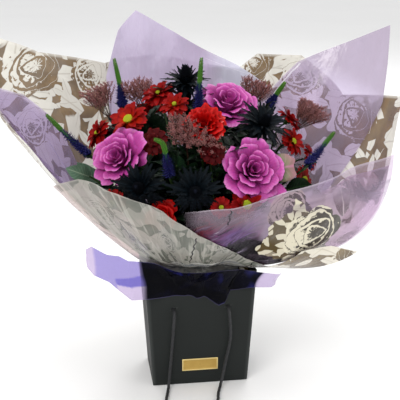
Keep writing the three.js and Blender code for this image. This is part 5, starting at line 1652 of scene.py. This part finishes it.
def strap(skin, line, half, up, finish, tone, kind=1.0, cup=0.0, columns=5, wave=0.0, start=0.0, place=None):
    """A leaf or narrow petal along a line of points, half as wide as half says and cupped across."""
    v = np.linspace(-1, 1, columns)
    along = units(np.gradient(line, axis=0))
    across = np.cross(along, up)
    across /= np.maximum(np.linalg.norm(across, axis=1), 1e-6)[:, None]
    over = np.cross(across, along)
    half = half[:, None]
    lift = cup * half * v[None] ** 2
    if wave:
        lift = lift + wave * np.sin(np.arange(len(line))[:, None] * 1.9 + start) * v[None] * np.abs(v[None])
    points = line[:, None, :] + across[:, None, :] * (half * v)[..., None] + over[:, None, :] * lift[..., None]
    look = shading(len(line), columns, down_rows(len(line)), (v[None] + 1) / 2, tone, kind)
    skin.grid(place(points) if place else points, look, finish)


def leaf(skin, root, way, long, wide, finish, tone, droop=0.35, shape="oval", up=None):
    """A leaf from its root along a way, arched by its own weight."""
    tip = kept_in(root + unit(way) * long, 5)
    long = float(np.linalg.norm(tip - root))
    way = unit(tip - root)
    up = vec(0, 0, 1) if up is None else up
    rise = up - way * way.dot(up)
    rise = unit(rise) if np.linalg.norm(rise) > 0.05 else unit(np.cross(way, vec(1, 0.2, 0)))
    t = np.linspace(0, 1, 12)
    line = root + np.outer(t * long, way) + np.outer(long * droop * (0.55 * t - t**2.1), rise)
    if shape == "oval":
        half = wide / 2 * np.sin(np.clip(t * 1.04, 0, 1) * math.pi) ** 0.62
        half = np.maximum(half, 0.5 * (1 - t) + 0.05)
    else:
        half = wide / 2 * np.sin(np.clip(t, 0, 1) ** 0.7 * math.pi) ** 0.9 + 0.25 * (1 - t)
    strap(skin, line, half, rise, finish, tone, cup=0.28, columns=7, wave=0.8, start=tone * 9)


def drawn(draw, span):
    """A number from a span, given as its start and its length, or the number itself."""
    return span[0] + span[1] * draw.random() if isinstance(span, tuple) else span


def stem_leaves(skin, head, heights, draw, rise, long, wide, finish, tone, droop, shape="oval", ring=1):
    """Leaves up a head's stem, so many in a ring at each height."""
    for z in heights:
        root = stem_at(head, z)
        spin = draw.random() * TURN
        for k in range(ring):
            way = bearing_way(spin + k * TURN / ring, drawn(draw, rise))
            leaf(skin, root, way, drawn(draw, long), wide, finish, drawn(draw, tone), droop, shape)


# Ornamental kale: each whorl's petal count, reach, rim, half width, cup, wave and curl
KALE_WHORLS = [
    (5, 1.0, -6, 0.66, 4.4, 3.4, 3.6),
    (5, 0.8, -1.5, 0.66, 4.8, 2.8, 3.0),
    (4, 0.58, 3, 0.74, 4.2, 2.0, 2.0),
    (4, 0.4, 6, 0.78, 3.0, 1.2, 1.0),
    (3, 0.27, 8, 0.95, 2.0, 0.8, 0.5),
    (3, 0.15, 10, 1.15, 1.2, 0.4, 0.0),
]
# Single outer petals and leaves that stand out of a head: to the right, up, reach, rim, half width, green
KALE_EXTRAS = {
    "kale_left": [(1.0, 0.35, 50, 7, 0.5, False)],
    "kale_right": [(1.0, 0.12, 64, -9, 0.52, True), (0.62, -0.78, 58, -10, 0.45, False)],
}


def kale_extras(skin, kale, draw, green):
    here = frame_of(kale)
    for ahead, rise, reach, rim, half, leafy in KALE_EXTRAS.get(kale["name"], ()):
        if leafy != green:
            continue
        way = here.local((kale["heart"] + vec(ahead, 0, rise))[None])[0]
        polar_petal(
            skin, here.place, math.atan2(way[1], way[0]), half, KALE_FOOT, rim, reach, 0.75, rows=16,
            columns=19, wave=2.6, curl=2.0, cup=4.0, lap=1.0, phase=draw.random() * TURN, count=2.2,
            rounded=0.3, blunt=4.0, notch=0.03, fringe=0.01, kind=1.0,
        )


def kale_petals(kale, number):
    here = frame_of(kale)
    draw = np.random.default_rng(200 + number)
    skin = Skin()
    for ring, (count, reach, rim, half, cup, wave, curl) in enumerate(KALE_WHORLS):
        for k in range(count):
            size = 1 + 0.06 * (draw.random() - 0.5)
            polar_petal(
                skin, here.place, TURN * (k + 0.37 * ring) / count + 0.16 * (draw.random() - 0.5),
                half, KALE_FOOT + ring * 1.2, rim + 1.5 * (draw.random() - 0.5), kale["radius"] * reach * size,
                0.35 + 0.5 * draw.random() + 0.02 * ring, rows=14, columns=17, wave=wave, curl=curl, cup=cup,
                lap=2.2, phase=draw.random() * TURN, count=1.3 + draw.random() * 0.9, rounded=0.3, blunt=4.6,
                pinch=0.04, narrow=0.3, notch=0.035, fringe=0.012,
            )
    kale_extras(skin, kale, draw, False)
    return skin


def kale_leaves(kale, number):
    """The stalk and the green outer leaves, as far out as the solid's."""
    here = frame_of(kale)
    draw = np.random.default_rng(240 + number)
    solid = here.local(node_points(kale["name"] + "_greens"))
    leaves = solid[solid[:, 2] > KALE_FOOT - 6]
    reach = float(np.hypot(leaves[:, 0], leaves[:, 1]).max())
    rim = float(leaves[:, 2].max()) - 3.0
    skin = Skin()
    add_stem(skin, kale, 1, 0.6, sides=10)
    foot = KALE_FOOT - 2 * PETAL - 0.3
    for k in range(4):
        polar_petal(
            skin, here.place, 0.7 + TURN * (k + 0.5) / 4, 0.66, foot, rim, reach * (0.97 + 0.03 * draw.random()),
            0.45 + 0.4 * draw.random(), rows=14, columns=17, wave=2.0, curl=2.0, cup=3.0, lap=0.8,
            phase=draw.random() * TURN, count=3.4, rounded=0.24, kind=1.0,
        )
    for k in range(4):
        polar_petal(
            skin, here.place, 0.7 + TURN * k / 4, 0.5, foot - 3, rim - 7, reach * 0.8,
            0.3 + 0.3 * draw.random(), wave=1.6, lap=0.4, phase=draw.random() * TURN, count=3.0, rounded=0.3,
            kind=1.0,
        )
    line = [kale["neck"], kale["heart"] + kale["axis"] * (KALE_FOOT + 4)]
    skin.tube(line, [kale["stem"] * 0.95, 4.2], 10, 0.6, 1)
    kale_extras(skin, kale, draw, True)
    return skin


# Carnations: each whorl's petal count, reach, rim, half width, wave and curl
CARNATION_WHORLS = [
    (5, 1.0, -5, 0.7, 3.2, 3.0),
    (4, 0.88, 0, 0.84, 4.4, 1.5),
    (4, 0.7, 4, 0.88, 5.0, 0.5),
    (4, 0.5, 7, 0.95, 4.4, 0.0),
    (3, 0.3, 9, 1.1, 3.2, 0.0),
]


def ruffled(bloom, number):
    """A carnation's petals: many small fringed fans, crowded towards the middle."""
    place = frame_of(bloom).place
    draw = np.random.default_rng(300 + number)
    skin = Skin()
    for ring, (count, reach, rim, half, wave, curl) in enumerate(CARNATION_WHORLS):
        for k in range(count):
            polar_petal(
                skin, place, TURN * (k + 0.41 * ring) / count + 0.3 * (draw.random() - 0.5),
                half, CARNATION_FOOT + ring, rim + 5 * (draw.random() - 0.5),
                bloom["radius"] * reach * (0.93 + 0.09 * draw.random()), 0.2 + 0.75 * draw.random(),
                rows=11, columns=25, wave=wave, curl=curl, cup=1.2, lap=2.5, phase=draw.random() * TURN,
                count=1.9 + draw.random() * 1.3, rounded=0.24, blunt=5.0, narrow=0.22, fringe=0.012, teeth=26.0,
            )
    return skin


def rose(bloom, number):
    """A small garden rose: petals wound round one another, the outer ones turned back."""
    place = frame_of(bloom).place
    draw = np.random.default_rng(340 + number)
    skin = Skin()
    petals = 22
    for k in range(petals):
        share = k / (petals - 1)
        polar_petal(
            skin, place, k * 2.399, lerp(0.62, 1.25, share), CARNATION_FOOT + k * 0.3,
            lerp(-5, 9.5, share**0.7), bloom["radius"] * lerp(1.0, 0.12, share**0.8),
            0.25 + 0.6 * draw.random(), columns=15, wave=lerp(1.6, 0.4, share),
            curl=lerp(5.0, 0.0, min(1, share * 1.6)), cup=2.6, lap=2.2, phase=draw.random() * TURN, count=1.6,
            rounded=0.16, pinch=0.1, narrow=0.3,
        )
    return skin


def carnation_green(bloom, number):
    """A carnation's stalk with narrow leaves, its calyx and the calyx's five points."""
    here = frame_of(bloom)
    draw = np.random.default_rng(380 + number)
    skin = Skin()
    add_stem(skin, bloom, 0, 0.7)
    foot = CARNATION_FOOT - PETAL - 0.3
    profile = [(0.4, -18.5), (2.6, -17), (3.5, -14), (4.8, -7), (5.7, -1), (5.0, 0)]
    ways = TURN * np.arange(16) / 16
    ribbed = 1 + 0.05 * np.cos(5 * ways)
    rings = [
        here.place(np.column_stack([r * ribbed * np.cos(ways), r * np.sin(ways), 0 * ways + (foot + z)]))
        for r, z in profile
    ]
    skin.grid(np.array(rings), shading(len(rings), len(ways), down_rows(len(rings)), tone=0.7), wrap=True)
    for k in range(5):
        polar_petal(
            skin, here.place, TURN * k / 5, 0.42, foot - 6, foot + 5, 9.5, 0.7, rows=8, columns=5,
            wave=0.2, curl=1.5, rounded=0.5, inner=5.0,
        )
    heights = np.arange(bloom["neck"][2] - 22, 300, -26)
    stem_leaves(skin, bloom, heights, draw, 0.9, (34, 10), 5, 1, (0.3, 0.4), 0.5, "blade")
    return skin


# Ways in which a solid's ray may be lifted and shortened to clear its neighbours
RAY_WAYS = [
    (0, 1), (7, 1), (-7, 1), (14, 0.95), (-14, 0.95), (5, 0.8), (-5, 0.8), (20, 0.8), (0, 0.6), (0, 0.45),
    (0, 0.35),
]


def ray_forms(here, corners, count, kinds, aside, share):
    """How each ray of a solid's star lies: its bearing, its length and its tip's height."""
    local = here.local(corners)
    step = TURN / count
    forms = []
    for k in range(count):
        radius, lift = kinds[k % len(kinds)]
        sway = math.sin(k * 2.4)
        found = []
        for extra, reach in RAY_WAYS:
            tip = lift + extra + sway * radius * 0.07
            long = radius * reach * (1 + 0.04 * sway)
            at = (k + aside) * step
            point = vec(long * share * math.cos(at), long * share * math.sin(at), tip * share)
            found.append((nearest(local, point), k * step, long, tip))
        forms.append(min(found, key=lambda form: form[0])[1:])
    return forms


def radial_line(bearing, r, z):
    return np.column_stack([r * math.cos(bearing), r * math.sin(bearing), z])


def ray_petal(skin, here, bearing, root, long, tip, wide, finish, tone, kind, arch=1.2, curl=2.0):
    t = np.linspace(0, 1, 9)
    z = lerp(2.0, tip, t) + arch * np.sin(t * math.pi) - curl * np.clip(t - 0.75, 0, 1) ** 2 * 8
    half = wide / 2 * np.array([0.42, 0.62, 0.8, 0.93, 1.0, 1.0, 0.92, 0.68, 0.12])
    line = radial_line(bearing, lerp(root, long, t), z)
    strap(skin, line, half, vec(0, 0, 1), finish, tone, kind, cup=0.22, columns=7, place=here.place)


# A spray's finishes, by place in its list
RED, YELLOW, GREEN, LEAVES, SHADED_RED = range(5)


def daisy_bloom(skin, bloom, corners, draw):
    """A daisy chrysanthemum: three rows of petals round an eye of small florets."""
    here = frame_of(bloom)
    radius, small, streak = bloom["radius"], bloom["small"], bloom["streak"]
    kinds = [(radius, 2)] if small else [(radius, 2), (radius * 0.84, 8)]
    count = 10 if small else 12
    forms = ray_forms(here, corners, count, kinds, 0.38, 1.0)
    step = TURN / count
    wide = radius * (0.4 if small else 0.34)
    # Blooms turned away take the darker red, as painted shade, on petals and eye
    red, eye_red = (SHADED_RED, SHADED_RED) if bloom["closed"] else (RED, YELLOW)

    def ray(bearing, long, tip, broad, finish, tone, kind, *arched):
        root = 0.5 if arched == (3.0, 3.0) else radius * 0.16
        ray_petal(skin, here, bearing, root, long, tip, wide * broad, finish, tone, kind, *arched)

    for k, (bearing, long, tip) in enumerate(forms):
        tone = 0.25 + 0.7 * draw.random()
        kind = streak * (0.4 + 0.6 * draw.random())
        ray(bearing, long, tip, 1, red, tone, kind)
        _, after_long, after_tip = forms[(k + 1) % count]
        low = min(tip, after_tip) - 2.5
        for share, reach in ((0.36, 0.98), (0.66, 0.93)):
            between = bearing + step * (share + 0.1 * (draw.random() - 0.5))
            far = lerp(long, after_long, share) * reach
            # The petals between, lower down, take lower tones: painted shade under the front row
            ray(between, far, low, 0.92, red, 0.05 + 0.6 * draw.random(), kind * 0.4)
        if not small:
            between = bearing + step * (0.5 + 0.2 * (draw.random() - 0.5))
            far = min(long, after_long) * 0.64
            ray(between, far, tip * 0.5 + 7, 0.85, RED, 0.4 + 0.6 * draw.random(), kind, 0.8, 1.0)
    if bloom["closed"]:
        for k in range(9):
            ray(k * 2.4, radius * 0.5, 10 - 0.4 * k, 0.9, red, 0.7 * draw.random(), 0.0, 3.0, 3.0)
    daisy_eye(skin, here, bloom, eye_red)


def daisy_eye(skin, here, bloom, finish):
    """The eye's small florets on their cushion, and the green cup under the bloom."""
    radius = bloom["radius"]
    swell, green = bloom["eye"]
    eye = radius * (0.22 if bloom["small"] else 0.19) * swell
    buds = 70
    spot = np.arange(buds)
    r = eye * np.sqrt((spot + 0.5) / buds)
    angle = spot * GOLDEN
    dome = 4.8 + 2.0 * (1 - (r / eye) ** 2)
    size = eye * 0.17
    corner = vec(0, 1, 2, 3, 4) * TURN / 5
    base = np.stack([np.cos(corner) * size, np.sin(corner) * size, np.zeros(5)], axis=-1)
    shape = np.vstack([base, [[0, 0, size * 1.3]]])
    centre = np.stack([r * np.cos(angle), r * np.sin(angle), dome], axis=-1)
    look = shading(buds, 6, (0.2 + 0.7 * (r / eye))[:, None], tone=0.8, kind=green)
    look[:, 5, 0] = 0.95
    triangles = [(i, (i + 1) % 5, 5) for i in range(5)]
    skin.many(here.place(centre[:, None, :] + shape[None]), triangles, look, finish)
    cushion = [(eye * 1.04, 2.0), (eye, 4.4), (eye * 0.6, 6.0), (0.05, 6.6)]
    cup = [(0.5, -8.5), (2.2, -8), (radius * 0.2, -3.5), (radius * 0.3, 0.6), (radius * 0.16, 1.6)]
    ways = TURN * np.arange(18) / 18
    for profile, colour in ((cushion, finish), (cup, GREEN)):
        rings = np.array([here.place(ring) for ring in turned_rings(profile, ways)])
        look = shading(len(profile), len(ways), 0.4, 0.0, 0.7, green * (colour == YELLOW))
        skin.grid(rings, look, colour, wrap=True)


# Ways in which a solid's limb may bend to clear its neighbours
LIMB_WAYS = [
    (0, 0, 0), (0, 0, -14), (0, 0, 12), (14, 0, 0), (-14, 0, 0), (0, 14, 0), (0, -14, 0), (18, 14, -10),
    (-18, 14, -10), (-18, -14, -10), (18, -14, -10), (0, 0, -30),
]


def daisy_spray(spray, number):
    draw = np.random.default_rng(420 + number)
    corners = node_points(spray["name"])
    skin = Skin()
    add_stem(skin, spray, GREEN)
    for bloom in spray["blooms"]:
        daisy_bloom(skin, bloom, corners, draw)
        top = bloom["neck"] + bloom["axis"] * 3
        bend = bloom["neck"] - bloom["axis"] * 14
        middles = [(spray["neck"] + bend) / 2 + vec(*way) for way in LIMB_WAYS]
        middle = min(middles, key=lambda point: nearest(corners, point))
        limb = curve_line([spray["neck"], middle, bend, top], 8)
        skin.tube(limb, 1.35, 7, 0.5, GREEN)
        for t in (0.3, 0.6, 0.85):
            root = spaced(limb, [t])[0]
            way = unit(top - spray["neck"]) * 0.6 + bearing_way(draw.random() * TURN, 0.1)
            leaf(skin, root, way, 17 + 12 * draw.random(), 7, LEAVES, 0.3 + 0.5 * draw.random(), 0.3)
    heights = np.arange(spray["neck"][2], TIE_Z + 62, -15)
    stem_leaves(skin, spray, heights, draw, 0.8, (26, 16), 11, LEAVES, (0.2, 0.5), 0.4)
    return skin


def toothed(skin, here, bearing, long, tip, wide, teeth, tone):
    """A sea holly's bract: a stiff blade with spiny teeth down both sides."""
    t = np.linspace(0, 1, 6 * teeth + 1)
    z = lerp(1.0, tip, t) + 0.05 * long * np.sin(t * math.pi)
    saw = np.mod(t * teeth, 1.0)
    spine = np.where(saw > 0.55, (saw - 0.55) / 0.45, 0.0) ** 0.8
    half = wide / 2 * (1 - t) ** 0.7 * (0.6 + 0.14 * np.sin(t * math.pi)) + 0.16
    half = half + wide * 0.34 * spine * (1 - t) ** 0.55

    def place(points):
        return np.array([kept_in(point, 3) for point in here.place(points).reshape(-1, 3)]).reshape(points.shape)

    line = radial_line(bearing, lerp(5.0, long, t), z)
    strap(skin, line, half, vec(0, 0, 1), 0, tone, cup=0.18, place=place)


def cone_girth(share):
    """A sea holly cone's girth at a share of its height, for a radius of 1."""
    return np.sqrt(np.clip(1 - (share * 1.02 - 0.28) ** 2 / 0.62, 0.02, 1))


def sea_holly(head, number):
    draw = np.random.default_rng(470 + number)
    here = frame_of(head)
    radius, cone = head["radius"], head["cone"]
    skin = Skin()
    add_stem(skin, head, 0, 0.4)
    forms = ray_forms(here, node_points(head["name"]), 14, [(radius, 8), (radius * 0.66, 17)], 0, 1.0)
    for k, (bearing, long, tip) in enumerate(forms):
        wide, more = (18, 0.9) if k % 2 == 0 else (13, 1.25)
        # The blades that hang below take the lowest tones: painted shade under the head
        blades = [
            (0.0, long, tip, wide, 3, 0.3 + 0.6 * draw.random()),
            (0.22, long * more, tip * 0.5 - 2, 13, 3, 0.2 + 0.5 * draw.random()),
            (0.12, radius * (0.5 + 0.25 * draw.random()), 14 + 8 * draw.random(), 7, 2, 0.7),
            (0.3, radius * (0.7 + 0.25 * draw.random()), -8 - 9 * draw.random(), 13, 3, 0.3 * draw.random()),
        ]
        for turn, *blade in blades:
            toothed(skin, here, bearing + turn, *blade)

    buds = 150
    spot = np.arange(buds)
    share = (spot + 0.5) / buds
    girth = 7.6 * cone_girth(share)
    angle = spot * GOLDEN
    out = units(np.stack([np.cos(angle), np.sin(angle), 0.35 + 1.4 * share**2], axis=-1))
    side = np.stack([-np.sin(angle), np.cos(angle), np.zeros(buds)], axis=-1)
    over = np.cross(out, side)
    centre = np.stack([girth * 0.86 * np.cos(angle), girth * 0.86 * np.sin(angle), cone * share], axis=-1)
    quarters = (0, TURN / 4, TURN / 2, 3 * TURN / 4)
    base = [centre + 1.05 * (math.cos(a) * side + math.sin(a) * over) for a in quarters]
    points = np.stack(base + [centre + out * 3.1], axis=1)
    look = shading(buds, 5, tone=0.5 + 0.4 * draw.random((buds, 1)))
    look[:, 4, 0] = 1.0
    skin.many(here.place(points), [(0, 1, 4), (1, 2, 4), (2, 3, 4), (3, 0, 4)], look, 1)
    t = np.linspace(0, 1, 9)
    core = here.place(np.column_stack([0 * t, 0 * t, lerp(-4, cone + 0.5, t)]))
    skin.tube(core, 6.6 * cone_girth(t), 12, 0.4, 1)
    heights = np.arange(head["neck"][2] - 14, 300, -24)
    stem_leaves(skin, head, heights, draw, 0.7, (30, 14), 8, 0, 0.4, 0.2, "blade", 4)
    return skin


def spike_places(line, start, stop, count):
    """Places round a spike in a spiral: share, centre, and the ways along, out and aside."""
    share = np.linspace(start, stop, count)
    centre = spaced(line, share)
    along = units(np.gradient(centre, axis=0))
    across = units(np.cross(along, vec(0.3, 1, 0.2)))
    up = np.cross(along, across)
    angle = (np.arange(count) * GOLDEN)[:, None]
    out = across * np.cos(angle) + up * np.sin(angle)
    return share, centre, along, out, np.cross(along, out)


def add_buds(skin, places, girth, long, wide, lean, finish, draw):
    """Small pointed buds set out from a spike: five-sided, on a spiral."""
    share, centre, along, out, side = places
    count = len(share)
    girth, long, wide = (np.broadcast_to(np.asarray(x, float), (count,))[:, None] for x in (girth, long, wide))
    way = units(out + along * lean)
    over = np.cross(way, side)
    root = centre + out * girth
    ring = [
        root + way * long * 0.42 + wide * (math.cos(a) * side + math.sin(a) * over)
        for a in np.arange(5) * TURN / 5
    ]
    points = np.stack([root, *ring, root + way * long], axis=1)
    pairs = [(1 + i, 1 + (i + 1) % 5) for i in range(5)]
    look = shading(count, 7, vec(0, *[0.55] * 5, 1), tone=0.3 + 0.65 * draw.random((count, 1)))
    skin.many(points, [(0, b, a) for a, b in pairs] + [(6, a, b) for a, b in pairs], look, finish)


def speedwell(head, number):
    """A speedwell's stalk and green tip, and its sleeve of blue florets."""
    draw = np.random.default_rng(520 + number)
    line = curve_line(head["spike"], 16)
    blue = head["blue"]
    greens = Skin()
    add_stem(greens, head, 0)
    t = np.linspace(0, 1, 20)
    girths = np.where(t < blue, 1.9, np.interp(t, [blue, blue + 0.1, 0.8, 1.0], [2.0, 2.4, 1.8, 0.4]))
    greens.tube(spaced(line, t), girths, 8, 0.6, 1)
    places = spike_places(line, blue + 0.01, 0.985, 120)
    share = (places[0] - blue) / (1 - blue)
    girth = np.interp(share, [0, 0.3, 0.75, 1], [1.8, 2.2, 1.9, 1.2])
    add_buds(greens, places, girth, lerp(3.4, 2.0, share), lerp(1.2, 0.8, share), 1.5, 1, draw)
    heights = np.arange(head["neck"][2] - 8, max(290, head["neck"][2] - 70), -16)
    stem_leaves(greens, head, heights, draw, 0.9, 30, 8, 2, 0.4, 0.3, "blade", 2)
    florets = Skin()
    places = spike_places(line, 0.03, blue + 0.05, 170)
    reach = lerp(1.15, 0.45, (places[0] - 0.03) / (blue + 0.02))
    add_buds(florets, places, 0.9, 7.6 * reach * (0.55 + 0.75 * draw.random(170)), 1.7 * reach, 0.35, 0, draw)
    places = spike_places(line, 0.05, blue * 0.85, 120)
    add_buds(florets, places, 2.2, 7.6 * (0.6 + 0.6 * draw.random(120)), 0.35, 0.15, 0, draw)
    florets.tube(spaced(line, np.linspace(0.04, blue, 12)), np.linspace(2.2, 1.6, 12), 10, 0.05)
    return greens, florets


def random_from(seed):
    """The same small generator as the solids' source, so that twigs and leaves stand where theirs do."""
    state = seed
    top = 0xFFFFFFFF

    def draw():
        nonlocal state
        state = (state + 0x6D2B79F5) & top
        t = ((state ^ (state >> 15)) * (1 | state)) & top
        t = ((t + (((t ^ (t >> 7)) * (61 | t)) & top)) & top) ^ t
        return ((t ^ (t >> 14)) & top) / 4294967296

    return draw


solid_draw = random_from(41)
# Where one spray reaches further than its solid, from its heart
LAVENDER_REACH = {
    "sea_lavender_middle": [
        (20, -22, -18), (34, -26, -22), (48, -26, -26), (58, -22, -30), (8, -22, -26), (26, -26, -34),
        (44, -24, -38), (-14, -16, -22),
    ],
}


def lavender_tips(head, here, corners, draw):
    """Where a spray's branches end, in its frame: the solid's own, then more between them."""

    def tip_at(angle, aside, rise):
        return vec(aside * math.cos(angle), aside * math.sin(angle), rise)

    tips = []
    for k in range(5):
        for way in range(6):
            angle = TURN * k / 5 + solid_draw() * 0.9 + way * 0.35
            aside = head["radius"] * (0.15 if k == 0 else 0.55 + 0.45 * solid_draw()) * (1 - way * 0.1)
            tip = tip_at(angle, aside, 4 - aside * 0.25 + 8 * solid_draw())
            if nearest(corners, here.place(tip)) < 1.5:
                tips.append(tip)
                break
    more = 15 if head["name"] == "sea_lavender_right" else 7
    for k in range(more):
        angle = TURN * (k + 0.5) / more + 0.4 * draw.random()
        aside = head["radius"] * (0.35 + 0.6 * draw.random())
        tips.append(tip_at(angle, aside, 3 - aside * 0.25 + 7 * draw.random()))
    for offset in LAVENDER_REACH.get(head["name"], ()):
        tips.append(here.local((head["heart"] + vec(*offset))[None])[0])
    return tips


def sea_lavender(head, number):
    """Wiry twigs that fork, each with rows of small papery tufts."""
    draw = np.random.default_rng(560 + number)
    here = frame_of(head)
    skin = Skin()
    add_stem(skin, head, 0)
    for tip in lavender_tips(head, here, node_points(head["name"]), draw):
        bend = vec(tip[0] * 0.6, tip[1] * 0.6, -18)
        line = curve_line(here.place(np.array([(0, 0, -head["depth"]), bend, tip])), 10)
        skin.tube(line, 0.5, 4, 0.5)
        for fork in range(8):
            share = 0.36 + 0.08 * fork
            root = spaced(line, [share])[0]
            spin = fork * 2.4 + draw.random()
            way = unit(bearing_way(spin, 0.5 + 0.6 * draw.random())) @ here.turn
            long = lerp(19, 9, (share - 0.36) / 0.56) * (0.8 + 0.4 * draw.random())
            arch = unit(head["axis"]) * long * 0.22
            twig = curve_line([root, root + way * long * 0.5 + arch * 0.2, root + way * long + arch], 4)
            skin.tube(twig, 0.32, 4, 0.5)
            places = spike_places(twig, 0.3, 1.0, 11)
            add_buds(skin, places, 0.2, 3.4 * (0.7 + 0.6 * draw.random(11)), 0.6, 1.3, 1, draw)
        add_buds(skin, spike_places(line, 0.5, 1.0, 16), 0.3, 3.6, 0.7, 1.4, 1, draw)
    return skin


def leafy_stalk(head, number):
    """A stalk with the solid's broad leaves, and smaller ones further down."""
    draw = np.random.default_rng(600 + number)
    corners = node_points(head["name"])
    skin = Skin()
    add_stem(skin, head, 0)
    finish = 2 if head["name"] == "leaves_left" else 1
    for k in range(head["leaves"]):
        root = head["neck"] if k == 0 else stem_at(head, head["neck"][2] - LEAFY * k / head["leaves"])
        spin = k * 2.4 + solid_draw() * 0.5
        here = Frame(root, head["axis"])
        for way in range(8):
            pitch = (-1.35 if k == 0 else -0.75) - 0.16 * (way >> 1) * (-1 if k == 0 else 1)
            turn = spin + 0.5 * (1 if way % 2 else -1) * way * 0.5
            size = (1 - way * 0.06) * (0.85 + 0.3 * solid_draw())
            long = head["long"] * size
            ahead, lift = long - 1, 0.25 * long * 0.2
            c, s = math.cos(pitch), math.sin(pitch)
            out = c * ahead + s * lift
            there = here.place(vec(out * math.cos(turn), out * math.sin(turn), -s * ahead + c * lift))
            if nearest(corners, there) < 0.5:
                break
        else:
            continue
        up = here.place(vec(-s * math.cos(turn), -s * math.sin(turn), c)) - root
        tone = 0.4 + 0.5 * draw.random()
        leaf(skin, root, unit(there - root), long, head["wide"] * size, finish, tone, 0.3, up=up)
    heights = np.arange(head["neck"][2] - 6, TIE_Z + 66, -9)
    stem_leaves(skin, head, heights, draw, (0.5, 0.5), (30, 16), 14, 1, (0.15, 0.6), 0.4)
    return skin


# Where broad leaves close the gaps between the heads
GAPS = [
    (-52, 20, 396), (-56, 12, 345), (-70, 6, 338), (-80, 10, 388), (-60, 30, 330), (-44, -10, 360), (24, 6, 372),
    (60, -10, 352),
]


def foliage_between():
    """The dark leaves that fill the room between the heads' stems, darkened further by low tones as painted shade.
    """
    draw = np.random.default_rng(700)
    skin = Skin()
    for head in ALL_HEADS:
        for z in np.arange(226 + 6 * draw.random(), head["neck"][2] - 4, 7.2):
            root = stem_at(head, z)
            way = bearing_way(draw.random() * TURN, 0.35 + 0.8 * draw.random())
            broad = draw.random() < 0.55
            long = 38 + (18 if broad else 14) * draw.random()
            wide = 19 + 8 * draw.random() if broad else 7
            # Mostly low tones: painted shade on the leaves deep among the heads
            tone = 0.05 + 0.7 * draw.random() ** 1.5
            leaf(skin, root, way, long, wide, 0, tone, 0.2 + 0.35 * draw.random(), "oval" if broad else "blade")
    for gap in GAPS:
        stems = [stem_at(head, gap[2] - 26) for head in ALL_HEADS if head["neck"][2] > gap[2] - 26]
        root = min(stems, key=lambda at: np.linalg.norm(at - vec(*gap)))
        for spin in (-0.5, 0.0, 0.5):
            way = vec(*gap) + vec(16 * spin, -4 * spin, 12 - 10 * abs(spin)) - root
            long = np.linalg.norm(way) * 1.15
            leaf(skin, root, way, long, 25, 0, 0.1 + 0.4 * draw.random(), 0.2, up=vec(-0.1, -1, 0.3))
    return skin


def flowers():
    def head_piece(head, ending, skin, finishes, part=""):
        add_piece(head["name"] + ending, skin, finishes, [head["name"] + part])

    add_piece("foliage_between", foliage_between(), [LEAF_DARK])
    for number, head in enumerate(KALES):
        head_piece(head, "_rosette", kale_petals(head, number), [KALE_PETAL])
        head_piece(head, "_leaves", kale_leaves(head, number), [KALE_LEAF, STALK], "_greens")
    for number, head in enumerate(CARNATIONS):
        petals = rose(head, number) if head["name"] == "carnation_front" else ruffled(head, number)
        head_piece(head, "_petals", petals, [RED_RUFFLE])
        head_piece(head, "_stalk", carnation_green(head, number), [STALK, LEAF_DARK], "_greens")
    for number, head in enumerate(DAISY_SPRAYS):
        finishes = [DAISY_RED, EYE, STALK, LEAF_DARK, DAISY_SHADED_RED]
        head_piece(head, "_spray", daisy_spray(head, number), finishes)
    for number, head in enumerate(SEA_HOLLIES):
        head_piece(head, "_head", sea_holly(head, number), [HOLLY, HOLLY_CONE])
    for number, head in enumerate(SPEEDWELLS):
        greens, florets = speedwell(head, number)
        head_piece(head, "_stalk", greens, [STALK, BUD, LEAF_DARK])
        head_piece(head, "_spike", florets, [BLUE], "_florets")
    for number, head in enumerate(SEA_LAVENDERS):
        head_piece(head, "_twigs", sea_lavender(head, number), [TWIG, LAVENDER])
    for number, head in enumerate(LEAFY_STALKS):
        head_piece(head, "_stalk", leafy_stalk(head, number), [STALK, LEAF_DARK, LEAF_SAGE])


flowers()


# The floor, the light and the surroundings
FLOOR_RADIUS = 9000
FLOOR_SIDES = 96
FLOOR_Z = -0.4
# Each lamp's place, size, power and colour
LAMPS = {
    "key": ((-1.4, -2.2, 2.3), 1.6, 42, (1.0, 0.98, 0.95)),
    "fill": ((2.2, -1.6, 1.2), 1.8, 9, (0.95, 0.97, 1.0)),
    "rim": ((0.9, 1.9, 1.9), 1.2, 18, (1.0, 1.0, 1.0)),
    "top": ((0.0, -0.1, 2.6), 1.4, 21, (1.0, 1.0, 1.0)),
}


def floor_paint():
    paint = Paint("floor_pale")
    return paint.done(paint.surface(paint.place().noise(3, 3).mix(0.86, 0.9), 0.85))


def studio():
    skin = Skin()
    ways = np.linspace(0, TURN, FLOOR_SIDES + 1)[:-1]
    skin.grid(turned_rings([(FLOOR_RADIUS, FLOOR_Z), (1, FLOOR_Z)], ways), np.zeros(4), wrap=True)
    mesh = skin.mesh("floor")
    mesh.materials.append(floor_paint())
    add_object("floor", mesh)

    for name, (place, size, power, colour) in LAMPS.items():
        data = bpy.data.lights.new(name, "AREA")
        data.size = size
        data.energy = power
        data.color = colour
        lamp = add_object(name, data)
        lamp.location = place
        aim = Vector((0, 0, CAMERA["target"][2])) - Vector(place)
        lamp.rotation_euler = aim.to_track_quat("-Z", "Y").to_euler()

    world = bpy.data.worlds.new("studio")
    scene.world = world
    world.use_nodes = True
    back = world.node_tree.nodes["Background"]
    back.inputs[0].default_value = opaque(1.0)
    back.inputs[1].default_value = 0.84
    scene.view_settings.view_transform = "Standard"
    scene.cycles.transparent_max_bounces = 32


studio()
